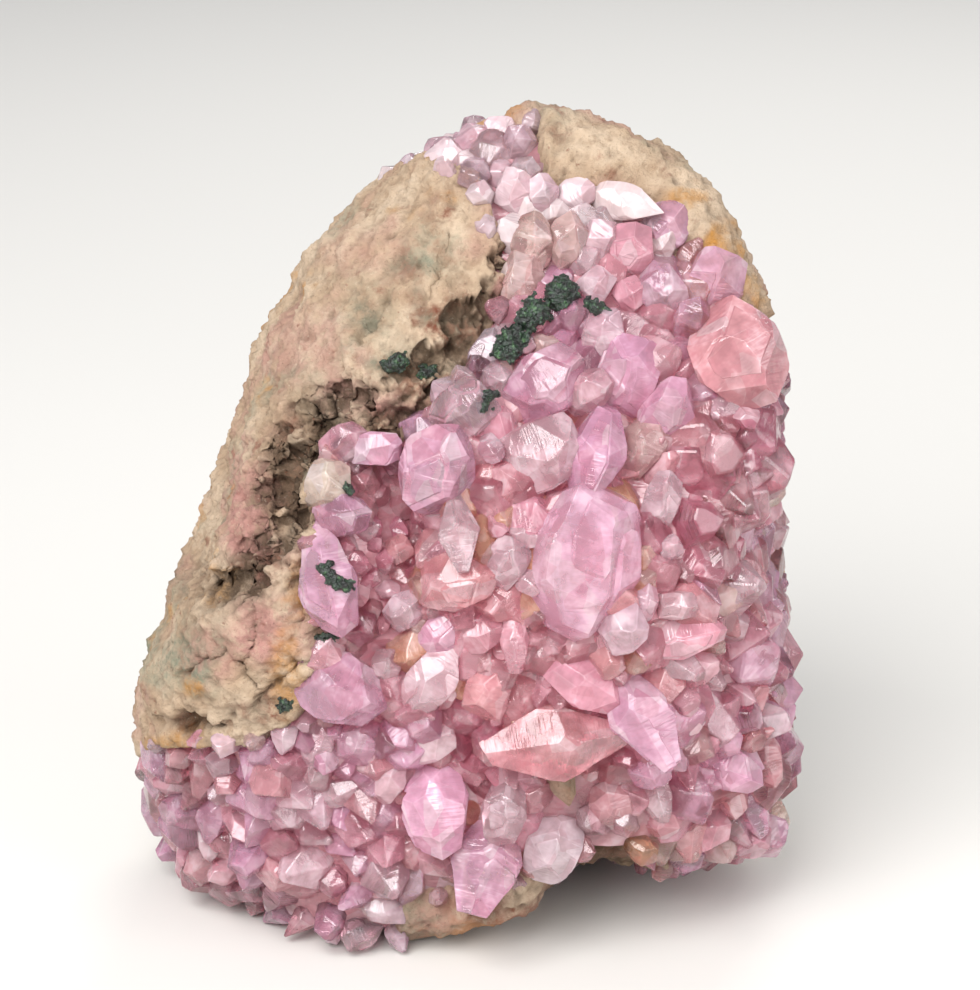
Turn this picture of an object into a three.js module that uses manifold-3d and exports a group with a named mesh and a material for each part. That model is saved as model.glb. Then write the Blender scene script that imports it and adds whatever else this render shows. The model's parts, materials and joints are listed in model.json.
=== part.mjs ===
// A cobaltoan calcite specimen: a broken lump of pale host rock, a druse of intergrown pink
// calcite crystals over its front and crest, and grains of green malachite on the crystals.
// Millimetres, +Z up. The druse faces -Y, and the lump rests on a flat broken underside at z = 0.
import * as THREE from "three";
import { mergeVertices } from "three/addons/utils/BufferGeometryUtils.js";
import { ConvexGeometry } from "three/addons/geometries/ConvexGeometry.js";
import { ImprovedNoise } from "three/addons/math/ImprovedNoise.js";
import Module from "manifold-3d";

// ---- Driving dimensions ----

// The middle of the lump, which its fracture faces are measured from.
const MIDDLE = new THREE.Vector3(-0.14, 0.3, 30);

// The fracture faces that bound the lump: which way each faces, and how far out it lies.
const FRACTURES = [
  { faces: [-1, 0, -0.1], out: 27.8 },
  { faces: [-0.93, -0.05, 0.36], out: 18.9 },
  { faces: [-0.65, 0.1, 0.76], out: 24.2 },
  { faces: [-0.22, 0.1, 0.97], out: 31.2 },
  { faces: [0.55, 0.1, 0.83], out: 32.4 },
  { faces: [0.93, 0.1, 0.35], out: 26.6 },
  { faces: [1, -0.05, -0.15], out: 26.5 },
  { faces: [0.6, 0, -0.8], out: 39.5 },
  { faces: [0, 0, -1], out: 31.8 },
  { faces: [0.3, -0.33, -0.9], out: 30.2 },
  { faces: [-0.7, -0.1, -0.7], out: 39.5 },
  { faces: [-0.5, -0.62, 0.6], out: 20.5 },
  { faces: [0.1, -0.85, 0.52], out: 17.4 },
  { faces: [0, -1, -0.12], out: 18 },
  { faces: [-0.6, -0.75, -0.3], out: 25 },
  { faces: [0.7, -0.7, -0.15], out: 24 },
  { faces: [0, 1, 0.1], out: 16.8 },
  { faces: [0.6, 0.8, 0], out: 21.5 },
  { faces: [-0.6, 0.8, 0.1], out: 20 },
  { faces: [0.1, 0.7, 0.7], out: 28 },
  { faces: [0, 0.7, -0.7], out: 29 },
];
const EDGE_SHARPNESS = 14;

// Broad swellings and dents of the lump: their middle from MIDDLE, their reach and their rise.
const SWELLS = [
  { at: [24, -4, 1], reach: 10, rise: -4.4 },
  { at: [-22, -4, -1], reach: 5, rise: -2.2 },
  { at: [-21, -9, -10], reach: 8, rise: 1.6 },
  { at: [-19, -12, -26], reach: 9, rise: 2 },
  { at: [24, -6, -23], reach: 9, rise: 2.8 },
];
const ROCK_RELIEF = 0.7;
const ROCK_RELIEF_REACH = 7;

// The druse is laid out on a plane through MIDDLE that leans back, square to the druse's face.
// Each place on it is given as [across, up], and lies on a sight line from a point far in front.
const FACE_LEAN = THREE.MathUtils.degToRad(20);
const SIGHT_DISTANCE = 260;
const SIGHT_STEP = 0.1;

// The edge of the druse on that plane. It runs clockwise from the neck that leads to the crest.
const DRUSE_EDGE = [
  [1.1, 26.4], [-2.3, 28], [-3.4, 31], [0.7, 34], [5.6, 33], [4.5, 29.2], [3.1, 26.5],
  [5.2, 25.2], [9, 25.8], [14.3, 24.2], [18.3, 20.8], [20.5, 16.7], [25, 14.4], [29, 1.5],
  [29, -24], [24.2, -27.3], [17.3, -27.7], [13.9, -25.9], [9.8, -24.6], [5.6, -27.3],
  [1.4, -28.6], [-4.6, -29.2], [-6.1, -33], [-20.5, -33], [-28, -25], [-28, -18.9],
  [-24.3, -17], [-17.1, -17], [-13.7, -15], [-12.8, -12.9], [-12.8, -8.3], [-13.1, -3],
  [-13, 2.7], [-11.1, 7.2], [-5.4, 7.4], [-3, 9.2], [-1.2, 11.7], [1.4, 14.4], [2.7, 17.4],
  [2.6, 21.2], [1.8, 24.2],
];
// How far round the sides the druse goes, and the patch of it behind the crest.
const DRUSE_BACK_EDGE = 4;
const CREST_PATCH = { at: [0.5, 8.5, 26], reach: 7.5 };
// Depths below the lump's own surface: the druse's bed between crystals, and the rock beneath.
const BED_DEPTH = 1.6;
const ROCK_DEPTH = 7;
const BED_RELIEF = 1;
const BED_RELIEF_REACH = 5;
// The hollow beside the left rim, where the bed lies deeper.
const HOLLOW = { at: [-6.6, 0.5], across: 3.2, up: 8, depth: 4.5 };

const FIT_GAP = 0.35;
const GROUND_GAP = 0.5;
const ROCK_DETAIL = 8;
const BED_DETAIL = 6;
const UNDERSIDE_DETAIL = 4;
const PATCH_DETAIL = 3;
const CLEAR = 80; // further out than any of the lump

// The large crystals: their place, length and width, the way the long axis points on the
// face plane, how far it tips towards the front, and the turn about it, in degrees.
const LARGE_CRYSTALS = [
  // The tallest crystal and those round it, in the middle of the face.
  { at: [8.9, -2.7], length: 12.1, width: 8.8, points: 76, tips: 28, turn: 20, blunt: true },
  { at: [9.2, 4.7], length: 7.4, width: 4.4, points: -100, tips: 15, turn: 40 },
  { at: [6, 4.9], length: 7.2, width: 5.4, points: 30, tips: 30, turn: 0, blunt: true },
  { at: [5.8, 10.2], length: 7.4, width: 6, points: 20, tips: 20, turn: 10, blunt: true },
  { at: [11.7, 11.2], length: 7.2, width: 5.4, points: 70, tips: 30, turn: 0, blunt: true },
  { at: [14.9, 9.5], length: 7.4, width: 4.2, points: 60, tips: 20, turn: 30 },
  { at: [9.8, 14.1], length: 4.6, width: 3.7, points: 60, tips: 40, turn: 0, blunt: true },
  { at: [14.3, 1.5], length: 4.4, width: 2.6, points: 70, tips: 20, turn: 0 },
  { at: [11.4, -8.3], length: 4.2, width: 3.4, points: 20, tips: 40, turn: 10, blunt: true },
  { at: [15.4, -6.5], length: 3.6, width: 2.4, points: 0, tips: 30, turn: 0, blunt: true },
  { at: [16, -9.7], length: 6.8, width: 4, points: 15, tips: 10, turn: 0 },
  // The upper right.
  { at: [19.8, 12.7], length: 9.4, width: 7.2, points: -50, tips: 25, turn: 0, blunt: true },
  { at: [12, 20.1], length: 7, width: 5, points: 80, tips: 35, turn: 0 },
  { at: [17.2, 19.8], length: 6.6, width: 5.8, points: 60, tips: 40, turn: 15, blunt: true },
  { at: [4.1, 21.6], length: 7.6, width: 4, points: 85, tips: 30, turn: 0, blunt: true },
  { at: [7.9, 21.4], length: 7.6, width: 4, points: 95, tips: 30, turn: 30, blunt: true },
  // The middle left, beside the hollow.
  { at: [-1.6, 7.6], length: 7.4, width: 5, points: 10, tips: 25, turn: 0, blunt: true },
  { at: [-2.3, 3], length: 7.8, width: 6, points: 80, tips: 30, turn: 20, blunt: true },
  { at: [-1, -0.9], length: 5.8, width: 3.5, points: -80, tips: 20, turn: 0 },
  { at: [-1.1, -4.6], length: 6.8, width: 4.8, points: 10, tips: 30, turn: 0, blunt: true },
  { at: [2.7, -3], length: 4.6, width: 4, points: 60, tips: 35, turn: 0, blunt: true },
  { at: [-5.2, -6.2], length: 3.6, width: 3, points: 40, tips: 30, turn: 0 },
  // The left rim.
  { at: [-8.3, 5.7], length: 6, width: 3.9, points: 15, tips: 20, turn: 0, blunt: true },
  { at: [-11, 1.1], length: 5.6, width: 4, points: 80, tips: 15, turn: 0, blunt: true },
  { at: [-10.5, -5.2], length: 8.2, width: 4.4, points: -75, tips: 5, turn: 0 },
  { at: [-9.7, -12.3], length: 7.2, width: 5.2, points: -20, tips: 15, turn: 0 },
  // Below the middle.
  { at: [-3, -12.1], length: 6.9, width: 4.1, points: 60, tips: 10, turn: 0 },
  { at: [-3.4, -16.5], length: 4, width: 3.3, points: 20, tips: 30, turn: 0, blunt: true },
  { at: [3, -9.8], length: 3.4, width: 1.8, points: -90, tips: 10, turn: 0, blunt: true },
  { at: [5.6, -16.7], length: 9.2, width: 5.8, points: 190, tips: 10, turn: 0 },
  { at: [12.2, -16.3], length: 9, width: 6, points: -60, tips: 20, turn: 0 },
  { at: [16.3, -15.3], length: 5.4, width: 2.2, points: 75, tips: 15, turn: 0, blunt: true },
  { at: [19.4, -18.8], length: 6.2, width: 3.6, points: -25, tips: 15, turn: 0 },
  { at: [22.6, -17.8], length: 5.4, width: 2.8, points: -70, tips: 5, turn: 0 },
  { at: [22, 2.1], length: 3.6, width: 2.8, points: 0, tips: 10, turn: 0, blunt: true },
  { at: [-2.7, -21.2], length: 8.7, width: 5.5, points: -80, tips: 12, turn: 0 },
  { at: [0.7, -26.4], length: 5.8, width: 4.6, points: -100, tips: 15, turn: 0 },
  { at: [6.2, -24.4], length: 6.2, width: 4.2, points: 80, tips: 20, turn: 0 },
  { at: [1.8, -22.6], length: 5.2, width: 3.2, points: 80, tips: 20, turn: 0, blunt: true },
];
const SUNK_SHARE = 0.12; // how much of a large crystal's width lies below the bed at its middle

// The small crystals that fill the druse: seeds spread over the whole sphere of directions.
const SEED_DIRECTIONS = 246;
const SMALL_LENGTH = 5.2;
const SMALL_WIDTH = 3.6;
const SMALL_SPREAD = 0.35; // share by which their size varies
const SMALL_TILT = 1.1; // how far they lean from square to the bed
const CROWDED_SHARE = 0.42; // of a large crystal's length: closer seeds give way to it

// Malachite: the place of each clump, its long and short side on the face plane, and the way
// its long side points, in degrees.
const MALACHITE = {
  malachite_nodule_upper: { at: [6.9, 17], long: 2.9, short: 2.3, points: 40 },
  malachite_nodule_middle: { at: [4.6, 15.4], long: 2.6, short: 2, points: 40 },
  malachite_nodule_lower: { at: [3.1, 13.2], long: 2.9, short: 2.1, points: 60 },
  malachite_streak_right: { at: [10.2, 15.7], long: 2.7, short: 0.9, points: -25 },
  malachite_fleck_hollow: { at: [1.2, 9.1], long: 1.5, short: 0.9, points: 60 },
  malachite_fleck_edge: { at: [-5.8, 11.8], long: 1.9, short: 1.1, points: 30 },
  malachite_fleck_edge_right: { at: [-3.2, 11.1], long: 1, short: 0.7, points: 30 },
  malachite_fleck_rim: { at: [-9.7, 2.5], long: 1.4, short: 0.6, points: 0 },
  malachite_fleck_blade: { at: [-10.2, -4.4], long: 2.4, short: 0.8, points: -40 },
  malachite_seam_left: { at: [-11.5, -8.9], long: 2.9, short: 0.7, points: 5 },
  malachite_fleck_left: { at: [-13.9, -14], long: 1.2, short: 0.9, points: 0 },
};

// A clump is a row of grains. These are shares of its short side: the step from one to the next,
// the least radius, how far they sit out from what they grew on, and the spread of both.
const GRAIN_STEP = 0.55;
const GRAIN_RADIUS = 0.42;
const GRAIN_LIFT = 0.3;
const GRAIN_SPREAD = 0.16;

// ---- Finishes ----

const ROCK_FINISH = { color: 0xc9b08f, roughness: 0.9, metalness: 0 };
const CALCITE_FINISH = { color: 0xd98ab2, roughness: 0.25, metalness: 0 };
const MALACHITE_FINISH = { color: 0x2f5238, roughness: 0.7, metalness: 0 };

// ---- Solids ----

const wasm = await Module();
wasm.setup();

const solidOf = (geometry) => {
  for (const name of ["normal", "uv"]) geometry.deleteAttribute(name);
  const merged = mergeVertices(geometry, 1e-4);
  return new wasm.Manifold(
    new wasm.Mesh({
      numProp: 3,
      vertProperties: new Float32Array(merged.attributes.position.array),
      triVerts: new Uint32Array(merged.index.array),
    }),
  );
};

// The largest body of a solid, without the crumbs that a cut can leave beside it.
const largestBody = (solid) =>
  solid.decompose().reduce((a, b) => (b.volume() > a.volume() ? b : a));

const meshOf = (name, solid, finish) => {
  const { numProp, vertProperties, triVerts } = solid.getMesh();
  const geometry = new THREE.BufferGeometry();
  geometry.setAttribute("position", new THREE.BufferAttribute(vertProperties, numProp));
  geometry.setIndex(new THREE.BufferAttribute(triVerts, 1));
  geometry.computeVertexNormals();
  const mesh = new THREE.Mesh(geometry, new THREE.MeshStandardMaterial(finish));
  mesh.name = name;
  return mesh;
};

// A closed solid round MIDDLE whose distance out is given for each direction.
const radialSolid = (detail, radiusAt) => {
  const ball = new THREE.IcosahedronGeometry(1, detail);
  const position = ball.attributes.position;
  const direction = new THREE.Vector3();
  for (let i = 0; i < position.count; i++) {
    direction.fromBufferAttribute(position, i).normalize();
    const point = direction.clone().multiplyScalar(radiusAt(direction)).add(MIDDLE);
    position.setXYZ(i, point.x, point.y, point.z);
  }
  return solidOf(ball);
};

// ---- The lump ----

const noise = new ImprovedNoise();
const RELIEF_START = new THREE.Vector3(7.3, 1.9, 4.1);
const relief = (point, reach) => {
  const { x, y, z } = point.clone().divideScalar(reach).add(RELIEF_START);
  return noise.noise(x, y, z);
};

const fractures = FRACTURES.map(({ faces, out }) => ({
  facing: new THREE.Vector3(...faces).normalize(),
  out,
}));

const lumpRadius = (direction) => {
  let nearness = 0;
  for (const { facing, out } of fractures) {
    const lean = facing.dot(direction);
    if (lean > 0) nearness += (lean / out) ** EDGE_SHARPNESS;
  }
  let radius = nearness ** (-1 / EDGE_SHARPNESS);
  const point = direction.clone().multiplyScalar(radius);
  for (const { at, reach, rise } of SWELLS) {
    radius += rise * Math.exp(-point.distanceToSquared(new THREE.Vector3(...at)) / reach ** 2);
  }
  return radius;
};

// ---- Places on the druse ----

const acrossFace = new THREE.Vector3(1, 0, 0);
const upFace = new THREE.Vector3(0, Math.sin(FACE_LEAN), Math.cos(FACE_LEAN));
const outOfFace = new THREE.Vector3(0, -Math.cos(FACE_LEAN), Math.sin(FACE_LEAN));
const sightPoint = MIDDLE.clone().addScaledVector(outOfFace, SIGHT_DISTANCE);

// Where a point lies on the face plane, as [across, up].
const placeOf = (point) => {
  const ray = point.clone().sub(sightPoint);
  const onPlane = ray.multiplyScalar(-SIGHT_DISTANCE / ray.dot(outOfFace)).add(sightPoint);
  const offset = onPlane.sub(MIDDLE);
  return [offset.dot(acrossFace), offset.dot(upFace)];
};

const insideEdge = ([x, y]) => {
  let inside = false;
  DRUSE_EDGE.forEach(([ax, ay], i) => {
    const [bx, by] = DRUSE_EDGE[(i + 1) % DRUSE_EDGE.length];
    if (ay > y !== by > y && x < ax + ((y - ay) / (by - ay)) * (bx - ax)) inside = !inside;
  });
  return inside;
};

const crestPatch = new THREE.Vector3(...CREST_PATCH.at).add(MIDDLE);

const carriesDruse = (direction) => {
  const point = direction.clone().multiplyScalar(lumpRadius(direction)).add(MIDDLE);
  if (point.distanceTo(crestPatch) < CREST_PATCH.reach) return true;
  return point.y < MIDDLE.y + DRUSE_BACK_EDGE && insideEdge(placeOf(point));
};

const hollowDepth = (direction) => {
  const point = direction.clone().multiplyScalar(lumpRadius(direction)).add(MIDDLE);
  if (point.y > MIDDLE.y) return 0;
  const [across, up] = placeOf(point);
  const sideways = (across - HOLLOW.at[0]) / HOLLOW.across;
  const upwards = (up - HOLLOW.at[1]) / HOLLOW.up;
  return HOLLOW.depth * Math.exp(-(sideways ** 2) - upwards ** 2);
};

const rockRadius = (direction) => {
  const radius = lumpRadius(direction);
  return radius + ROCK_RELIEF * relief(direction.clone().multiplyScalar(radius), ROCK_RELIEF_REACH);
};

const underDruseRadius = (direction) =>
  lumpRadius(direction) - ROCK_DEPTH - hollowDepth(direction);

const bedRadius = (direction) => {
  const point = direction.clone().multiplyScalar(lumpRadius(direction));
  const bumps = BED_RELIEF * relief(point, BED_RELIEF_REACH);
  return lumpRadius(direction) - BED_DEPTH - hollowDepth(direction) + bumps;
};

// Where the sight line of a place meets the bed.
const seatAt = ([across, up]) => {
  const target = MIDDLE.clone().addScaledVector(acrossFace, across).addScaledVector(upFace, up);
  const along = target.sub(sightPoint).normalize();
  const point = sightPoint.clone().addScaledVector(along, SIGHT_DISTANCE - CLEAR);
  for (let walked = 0; walked < 2 * CLEAR; walked += SIGHT_STEP) {
    const out = point.clone().sub(MIDDLE);
    if (out.length() < bedRadius(out.clone().normalize())) break;
    point.addScaledVector(along, SIGHT_STEP);
  }
  return point;
};

// ---- Crystals ----

// A scalenohedron, the steep double pyramid that calcite grows in. Its six middle corners
// step up and down, and a blunt one ends in low caps in place of its points.
const EQUATOR_STEP = 0.11;
const UNCUT_TIP = 1.25; // how far past its cap a blunt crystal's point would have reached
const CAP_CUT = 0.52;
const crystalSolid = ({ length, width, blunt }, matrix) => {
  const half = length / 2;
  const corners = [];
  for (let k = 0; k < 6; k++) {
    const angle = (k * Math.PI) / 3;
    const step = (k % 2 ? 1 : -1) * EQUATOR_STEP * length;
    corners.push(
      new THREE.Vector3((Math.cos(angle) * width) / 2, (Math.sin(angle) * width) / 2, step),
    );
  }
  const points = [...corners];
  for (const end of [half, -half]) {
    if (blunt) {
      const tip = new THREE.Vector3(0, 0, end * UNCUT_TIP);
      for (const k of [0, 2, 4]) points.push(tip.clone().lerp(corners[k], CAP_CUT));
    }
    points.push(new THREE.Vector3(0, 0, end));
  }
  return solidOf(new ConvexGeometry(points.map((p) => p.applyMatrix4(matrix))));
};

// A frame at a point with its Z along an axis, turned about it.
const crystalFrame = (point, axis, turn) => {
  const toAxis = new THREE.Quaternion().setFromUnitVectors(new THREE.Vector3(0, 0, 1), axis);
  const about = new THREE.Quaternion().setFromAxisAngle(new THREE.Vector3(0, 0, 1), turn);
  return new THREE.Matrix4().compose(point, toAxis.multiply(about), new THREE.Vector3(1, 1, 1));
};

const largeCrystal = (crystal) => {
  const points = THREE.MathUtils.degToRad(crystal.points);
  const tips = THREE.MathUtils.degToRad(crystal.tips);
  const axis = new THREE.Vector3()
    .addScaledVector(acrossFace, Math.cos(points) * Math.cos(tips))
    .addScaledVector(upFace, Math.sin(points) * Math.cos(tips))
    .addScaledVector(outOfFace, Math.sin(tips));
  const seat = seatAt(crystal.at).addScaledVector(outOfFace, -SUNK_SHARE * crystal.width);
  const turn = THREE.MathUtils.degToRad(crystal.turn);
  const reach = CROWDED_SHARE * crystal.length;
  return { seat, reach, solid: crystalSolid(crystal, crystalFrame(seat, axis, turn)) };
};

// A repeatable stream of numbers from 0 to 1.
const drawsFrom = (seed) => {
  const modulus = 2 ** 32;
  let state = seed;
  return () => {
    state = (state * 1664525 + 1013904223) % modulus;
    return state / modulus;
  };
};

const smallCrystals = (large) => {
  const draw = drawsFrom(41);
  const solids = [];
  const goldenAngle = Math.PI * (3 - Math.sqrt(5));
  for (let i = 0; i < SEED_DIRECTIONS; i++) {
    const up = 1 - (2 * (i + 0.5)) / SEED_DIRECTIONS;
    const flat = Math.sqrt(1 - up * up);
    const direction = new THREE.Vector3(
      Math.cos(i * goldenAngle) * flat,
      Math.sin(i * goldenAngle) * flat,
      up,
    );
    const jitter = new THREE.Vector3(draw() - 0.5, draw() - 0.5, draw() - 0.5);
    const size = 1 + SMALL_SPREAD * (2 * draw() - 1);
    const turn = draw() * Math.PI;
    if (!carriesDruse(direction)) continue;
    const seat = direction.clone().multiplyScalar(bedRadius(direction)).add(MIDDLE);
    if (large.some((other) => other.seat.distanceTo(seat) < other.reach)) continue;
    const axis = direction.clone().addScaledVector(jitter, SMALL_TILT).normalize();
    const crystal = { length: SMALL_LENGTH * size, width: SMALL_WIDTH * size };
    solids.push(crystalSolid(crystal, crystalFrame(seat, axis, turn)));
  }
  return solids;
};

// ---- Malachite ----

// Where the sight line of a place first meets any of the meshes.
const surfaceAt = ([across, up], meshes) => {
  const target = MIDDLE.clone().addScaledVector(acrossFace, across).addScaledVector(upFace, up);
  const along = target.sub(sightPoint).normalize();
  return new THREE.Raycaster(sightPoint, along).intersectObjects(meshes)[0].point;
};

// A clump of rough grains in a row, cut to lie on what it grew on.
const malachiteSolid = ({ at, long, short, points }, carriers, draw) => {
  const centre = surfaceAt(at, carriers.map(({ mesh }) => mesh));
  const angle = THREE.MathUtils.degToRad(points);
  const along = acrossFace
    .clone()
    .multiplyScalar(Math.cos(angle))
    .addScaledVector(upFace, Math.sin(angle));
  const steps = Math.ceil((long - short) / (GRAIN_STEP * short));
  const grains = [];
  for (let i = 0; i <= steps; i++) {
    const grain = new THREE.IcosahedronGeometry(short * (GRAIN_RADIUS + GRAIN_SPREAD * draw()), 0);
    grain.rotateX(draw() * Math.PI).rotateY(draw() * Math.PI);
    const middle = centre
      .clone()
      .addScaledVector(along, (i / steps - 0.5) * (long - short))
      .addScaledVector(outOfFace, FIT_GAP + short * (GRAIN_LIFT + GRAIN_SPREAD * draw()));
    grain.translate(...middle.toArray());
    grains.push(solidOf(grain));
  }
  const reach = 2 * long;
  const near = solidOf(new THREE.BoxGeometry(reach, reach, reach).translate(...centre.toArray()));
  const nearby = wasm.Manifold.union(carriers.map(({ solid }) => solid.intersect(near)));
  // The carriers moved out and to each side by the gap, so that the clump stays clear of them.
  const cleared = [acrossFace, upFace].flatMap((side) =>
    [FIT_GAP, -FIT_GAP].map((gap) => {
      const move = outOfFace.clone().multiplyScalar(FIT_GAP).addScaledVector(side, gap);
      return nearby.translate(move.toArray());
    }),
  );
  return largestBody(wasm.Manifold.union(grains).subtract(wasm.Manifold.union(cleared)));
};

// ---- The pieces ----

const block = () => new THREE.BoxGeometry(2 * CLEAR, 2 * CLEAR, 2 * CLEAR);
const groundTo = (height) => solidOf(block().translate(0, 0, height - CLEAR));

// The druse's edge moved out by a margin. It runs clockwise, so that out is to its left.
const edgeOutBy = (margin) =>
  DRUSE_EDGE.map(([x, y], i) => {
    const [ax, ay] = DRUSE_EDGE.at(i - 1);
    const [bx, by] = DRUSE_EDGE[(i + 1) % DRUSE_EDGE.length];
    const run = new THREE.Vector2(bx - ax, by - ay).normalize();
    return new THREE.Vector2(x - margin * run.y, y + margin * run.x);
  });

// The space that the druse may take, out to its edge, its back edge and the patch at the crest,
// and a margin past them.
const druseSpace = (margin) => {
  const outline = new THREE.Shape(edgeOutBy(margin));
  const prism = new THREE.ExtrudeGeometry(outline, { depth: 2 * CLEAR, bevelEnabled: false });
  prism.translate(0, 0, -CLEAR);
  const position = prism.attributes.position;
  const face = new THREE.Matrix4().makeBasis(acrossFace, upFace, outOfFace).setPosition(MIDDLE);
  for (let i = 0; i < position.count; i++) {
    const point = new THREE.Vector3().fromBufferAttribute(position, i);
    const narrows = 1 - point.z / SIGHT_DISTANCE;
    point.set(point.x * narrows, point.y * narrows, point.z).applyMatrix4(face);
    position.setXYZ(i, point.x, point.y, point.z);
  }
  const front = block().translate(0, MIDDLE.y + DRUSE_BACK_EDGE + margin - CLEAR, 0);
  const patch = new THREE.IcosahedronGeometry(CREST_PATCH.reach + margin, PATCH_DETAIL);
  patch.translate(...crestPatch.toArray());
  return solidOf(prism).intersect(solidOf(front)).add(solidOf(patch));
};

// The rock with the pocket that the druse lies in, and with a margin all round.
const rockWith = (margin) => {
  const underside = radialSolid(UNDERSIDE_DETAIL, (way) => underDruseRadius(way) + margin);
  const pocket = druseSpace(FIT_GAP - margin).subtract(underside);
  return radialSolid(ROCK_DETAIL, (way) => rockRadius(way) + margin).subtract(pocket);
};

const rock = largestBody(rockWith(0).subtract(groundTo(0)));

const bed = radialSolid(BED_DETAIL, bedRadius).intersect(druseSpace(0));
const largeOnes = LARGE_CRYSTALS.map(largeCrystal);
const crystals = wasm.Manifold.union([
  ...largeOnes.map(({ solid }) => solid),
  ...smallCrystals(largeOnes),
]);
const druse = largestBody(
  bed.add(crystals).subtract(rockWith(FIT_GAP)).subtract(groundTo(GROUND_GAP)),
);

const rockMesh = meshOf("matrix_rock", rock, ROCK_FINISH);
const druseMesh = meshOf("calcite_druse", druse, CALCITE_FINISH);
const carriers = [
  { solid: rock, mesh: rockMesh },
  { solid: druse, mesh: druseMesh },
];
const specimen = new THREE.Group();
specimen.add(rockMesh, druseMesh);
const grainDraw = drawsFrom(7);
for (const [name, clump] of Object.entries(MALACHITE)) {
  specimen.add(meshOf(name, malachiteSolid(clump, carriers, grainDraw), MALACHITE_FINISH));
}
export default specimen;
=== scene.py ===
"""The looks of a cobaltoan calcite specimen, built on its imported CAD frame.

Three things grew here: a broken lump of pale host rock, a druse of intergrown pink calcite
crystals over its front and crest, and grains of dark green malachite on both. Blender's units
are metres, +Z is up and the druse faces -Y. Sizes in this file are millimetres, and MM turns
them to metres.
"""

import json
import logging
import math
import random
from collections.abc import Iterable
from dataclasses import dataclass, field
from enum import Enum

import bpy
import numpy as np
from mathutils import Matrix, Vector, noise
from mathutils.bvhtree import BVHTree

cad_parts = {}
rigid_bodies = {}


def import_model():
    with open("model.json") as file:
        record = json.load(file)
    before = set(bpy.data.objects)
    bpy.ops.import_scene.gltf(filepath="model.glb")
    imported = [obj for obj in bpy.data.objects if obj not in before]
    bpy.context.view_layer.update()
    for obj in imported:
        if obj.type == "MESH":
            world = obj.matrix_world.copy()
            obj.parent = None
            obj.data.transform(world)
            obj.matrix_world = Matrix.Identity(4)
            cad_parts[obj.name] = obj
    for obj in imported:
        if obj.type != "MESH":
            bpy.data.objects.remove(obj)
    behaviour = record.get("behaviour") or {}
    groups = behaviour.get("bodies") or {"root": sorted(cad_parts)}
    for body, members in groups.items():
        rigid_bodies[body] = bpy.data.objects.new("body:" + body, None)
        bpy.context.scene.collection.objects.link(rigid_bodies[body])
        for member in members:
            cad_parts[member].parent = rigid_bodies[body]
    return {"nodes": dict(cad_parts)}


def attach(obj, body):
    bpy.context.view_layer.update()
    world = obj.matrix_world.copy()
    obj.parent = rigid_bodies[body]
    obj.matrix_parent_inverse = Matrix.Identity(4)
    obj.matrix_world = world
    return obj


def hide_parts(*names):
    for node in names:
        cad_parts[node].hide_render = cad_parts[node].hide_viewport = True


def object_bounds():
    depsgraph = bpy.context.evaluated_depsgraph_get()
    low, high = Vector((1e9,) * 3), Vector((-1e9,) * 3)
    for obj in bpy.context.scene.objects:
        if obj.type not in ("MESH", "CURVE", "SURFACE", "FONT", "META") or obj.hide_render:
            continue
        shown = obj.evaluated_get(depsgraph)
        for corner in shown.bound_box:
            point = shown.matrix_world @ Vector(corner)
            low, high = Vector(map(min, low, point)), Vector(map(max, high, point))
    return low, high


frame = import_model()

CAD_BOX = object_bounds()
MM = 0.001
BODY = "root"
log = logging.getLogger("specimen")


# ---- Blender's tools, held the same way each time ----


def deselect() -> None:
    """Leave edit mode and select nothing."""
    active = bpy.context.view_layer.objects.active
    if active is not None and active.mode != "OBJECT":
        bpy.ops.object.mode_set(mode="OBJECT")
    bpy.ops.object.select_all(action="DESELECT")


def take_up(piece: bpy.types.Object) -> None:
    """Select one piece alone and make it the active one.

    Args:
        piece: The one to work on next.
    """
    deselect()
    piece.select_set(True)
    bpy.context.view_layer.objects.active = piece


def work_with(piece: bpy.types.Object, kind: str, **settings: object) -> None:
    """Add a modifier to a piece and apply it.

    Args:
        piece: The mesh to work.
        kind: Blender's name for the modifier, such as BEVEL.
        settings: The modifier's own settings.
    """
    modifier = piece.modifiers.new(kind.lower(), kind)
    for name, value in settings.items():
        setattr(modifier, name, value)
    take_up(piece)
    bpy.ops.object.modifier_apply(modifier=modifier.name)


def points_of(mesh: bpy.types.Mesh) -> np.ndarray:
    """The vertices of a mesh in millimetres.

    Args:
        mesh: The mesh.

    Returns:
        A row of x, y and z for each vertex.
    """
    flat = np.empty(3 * len(mesh.vertices), np.float32)
    mesh.vertices.foreach_get("co", flat)
    return flat.reshape(-1, 3).astype(float) / MM


def move_points(mesh: bpy.types.Mesh, points: np.ndarray) -> None:
    """Put the vertices of a mesh at these places, in millimetres."""
    mesh.vertices.foreach_set("co", (points * MM).astype(np.float32).ravel())
    mesh.update()


def normals_of(mesh: bpy.types.Mesh) -> np.ndarray:
    """The normals at the vertices of a mesh, as rows."""
    return np.array([tuple(n.vector) for n in mesh.vertex_normals])


def closed(mesh: bpy.types.Mesh) -> bool:
    """Whether every edge of a mesh lies between two faces.

    Args:
        mesh: The mesh.

    Returns:
        True if no edge of it is open.
    """
    edges = np.empty(len(mesh.loops), int)
    mesh.loops.foreach_get("edge_index", edges)
    return bool((np.bincount(edges, minlength=len(mesh.edges)) == 2).all())


def smoothstep(low: float, high: float, value: np.ndarray) -> np.ndarray:
    """0 below low, 1 above high, and a smooth rise between; high may be the lower one."""
    share = np.clip((value - low) / (high - low), 0, 1)
    return share * share * (3 - 2 * share)


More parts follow.
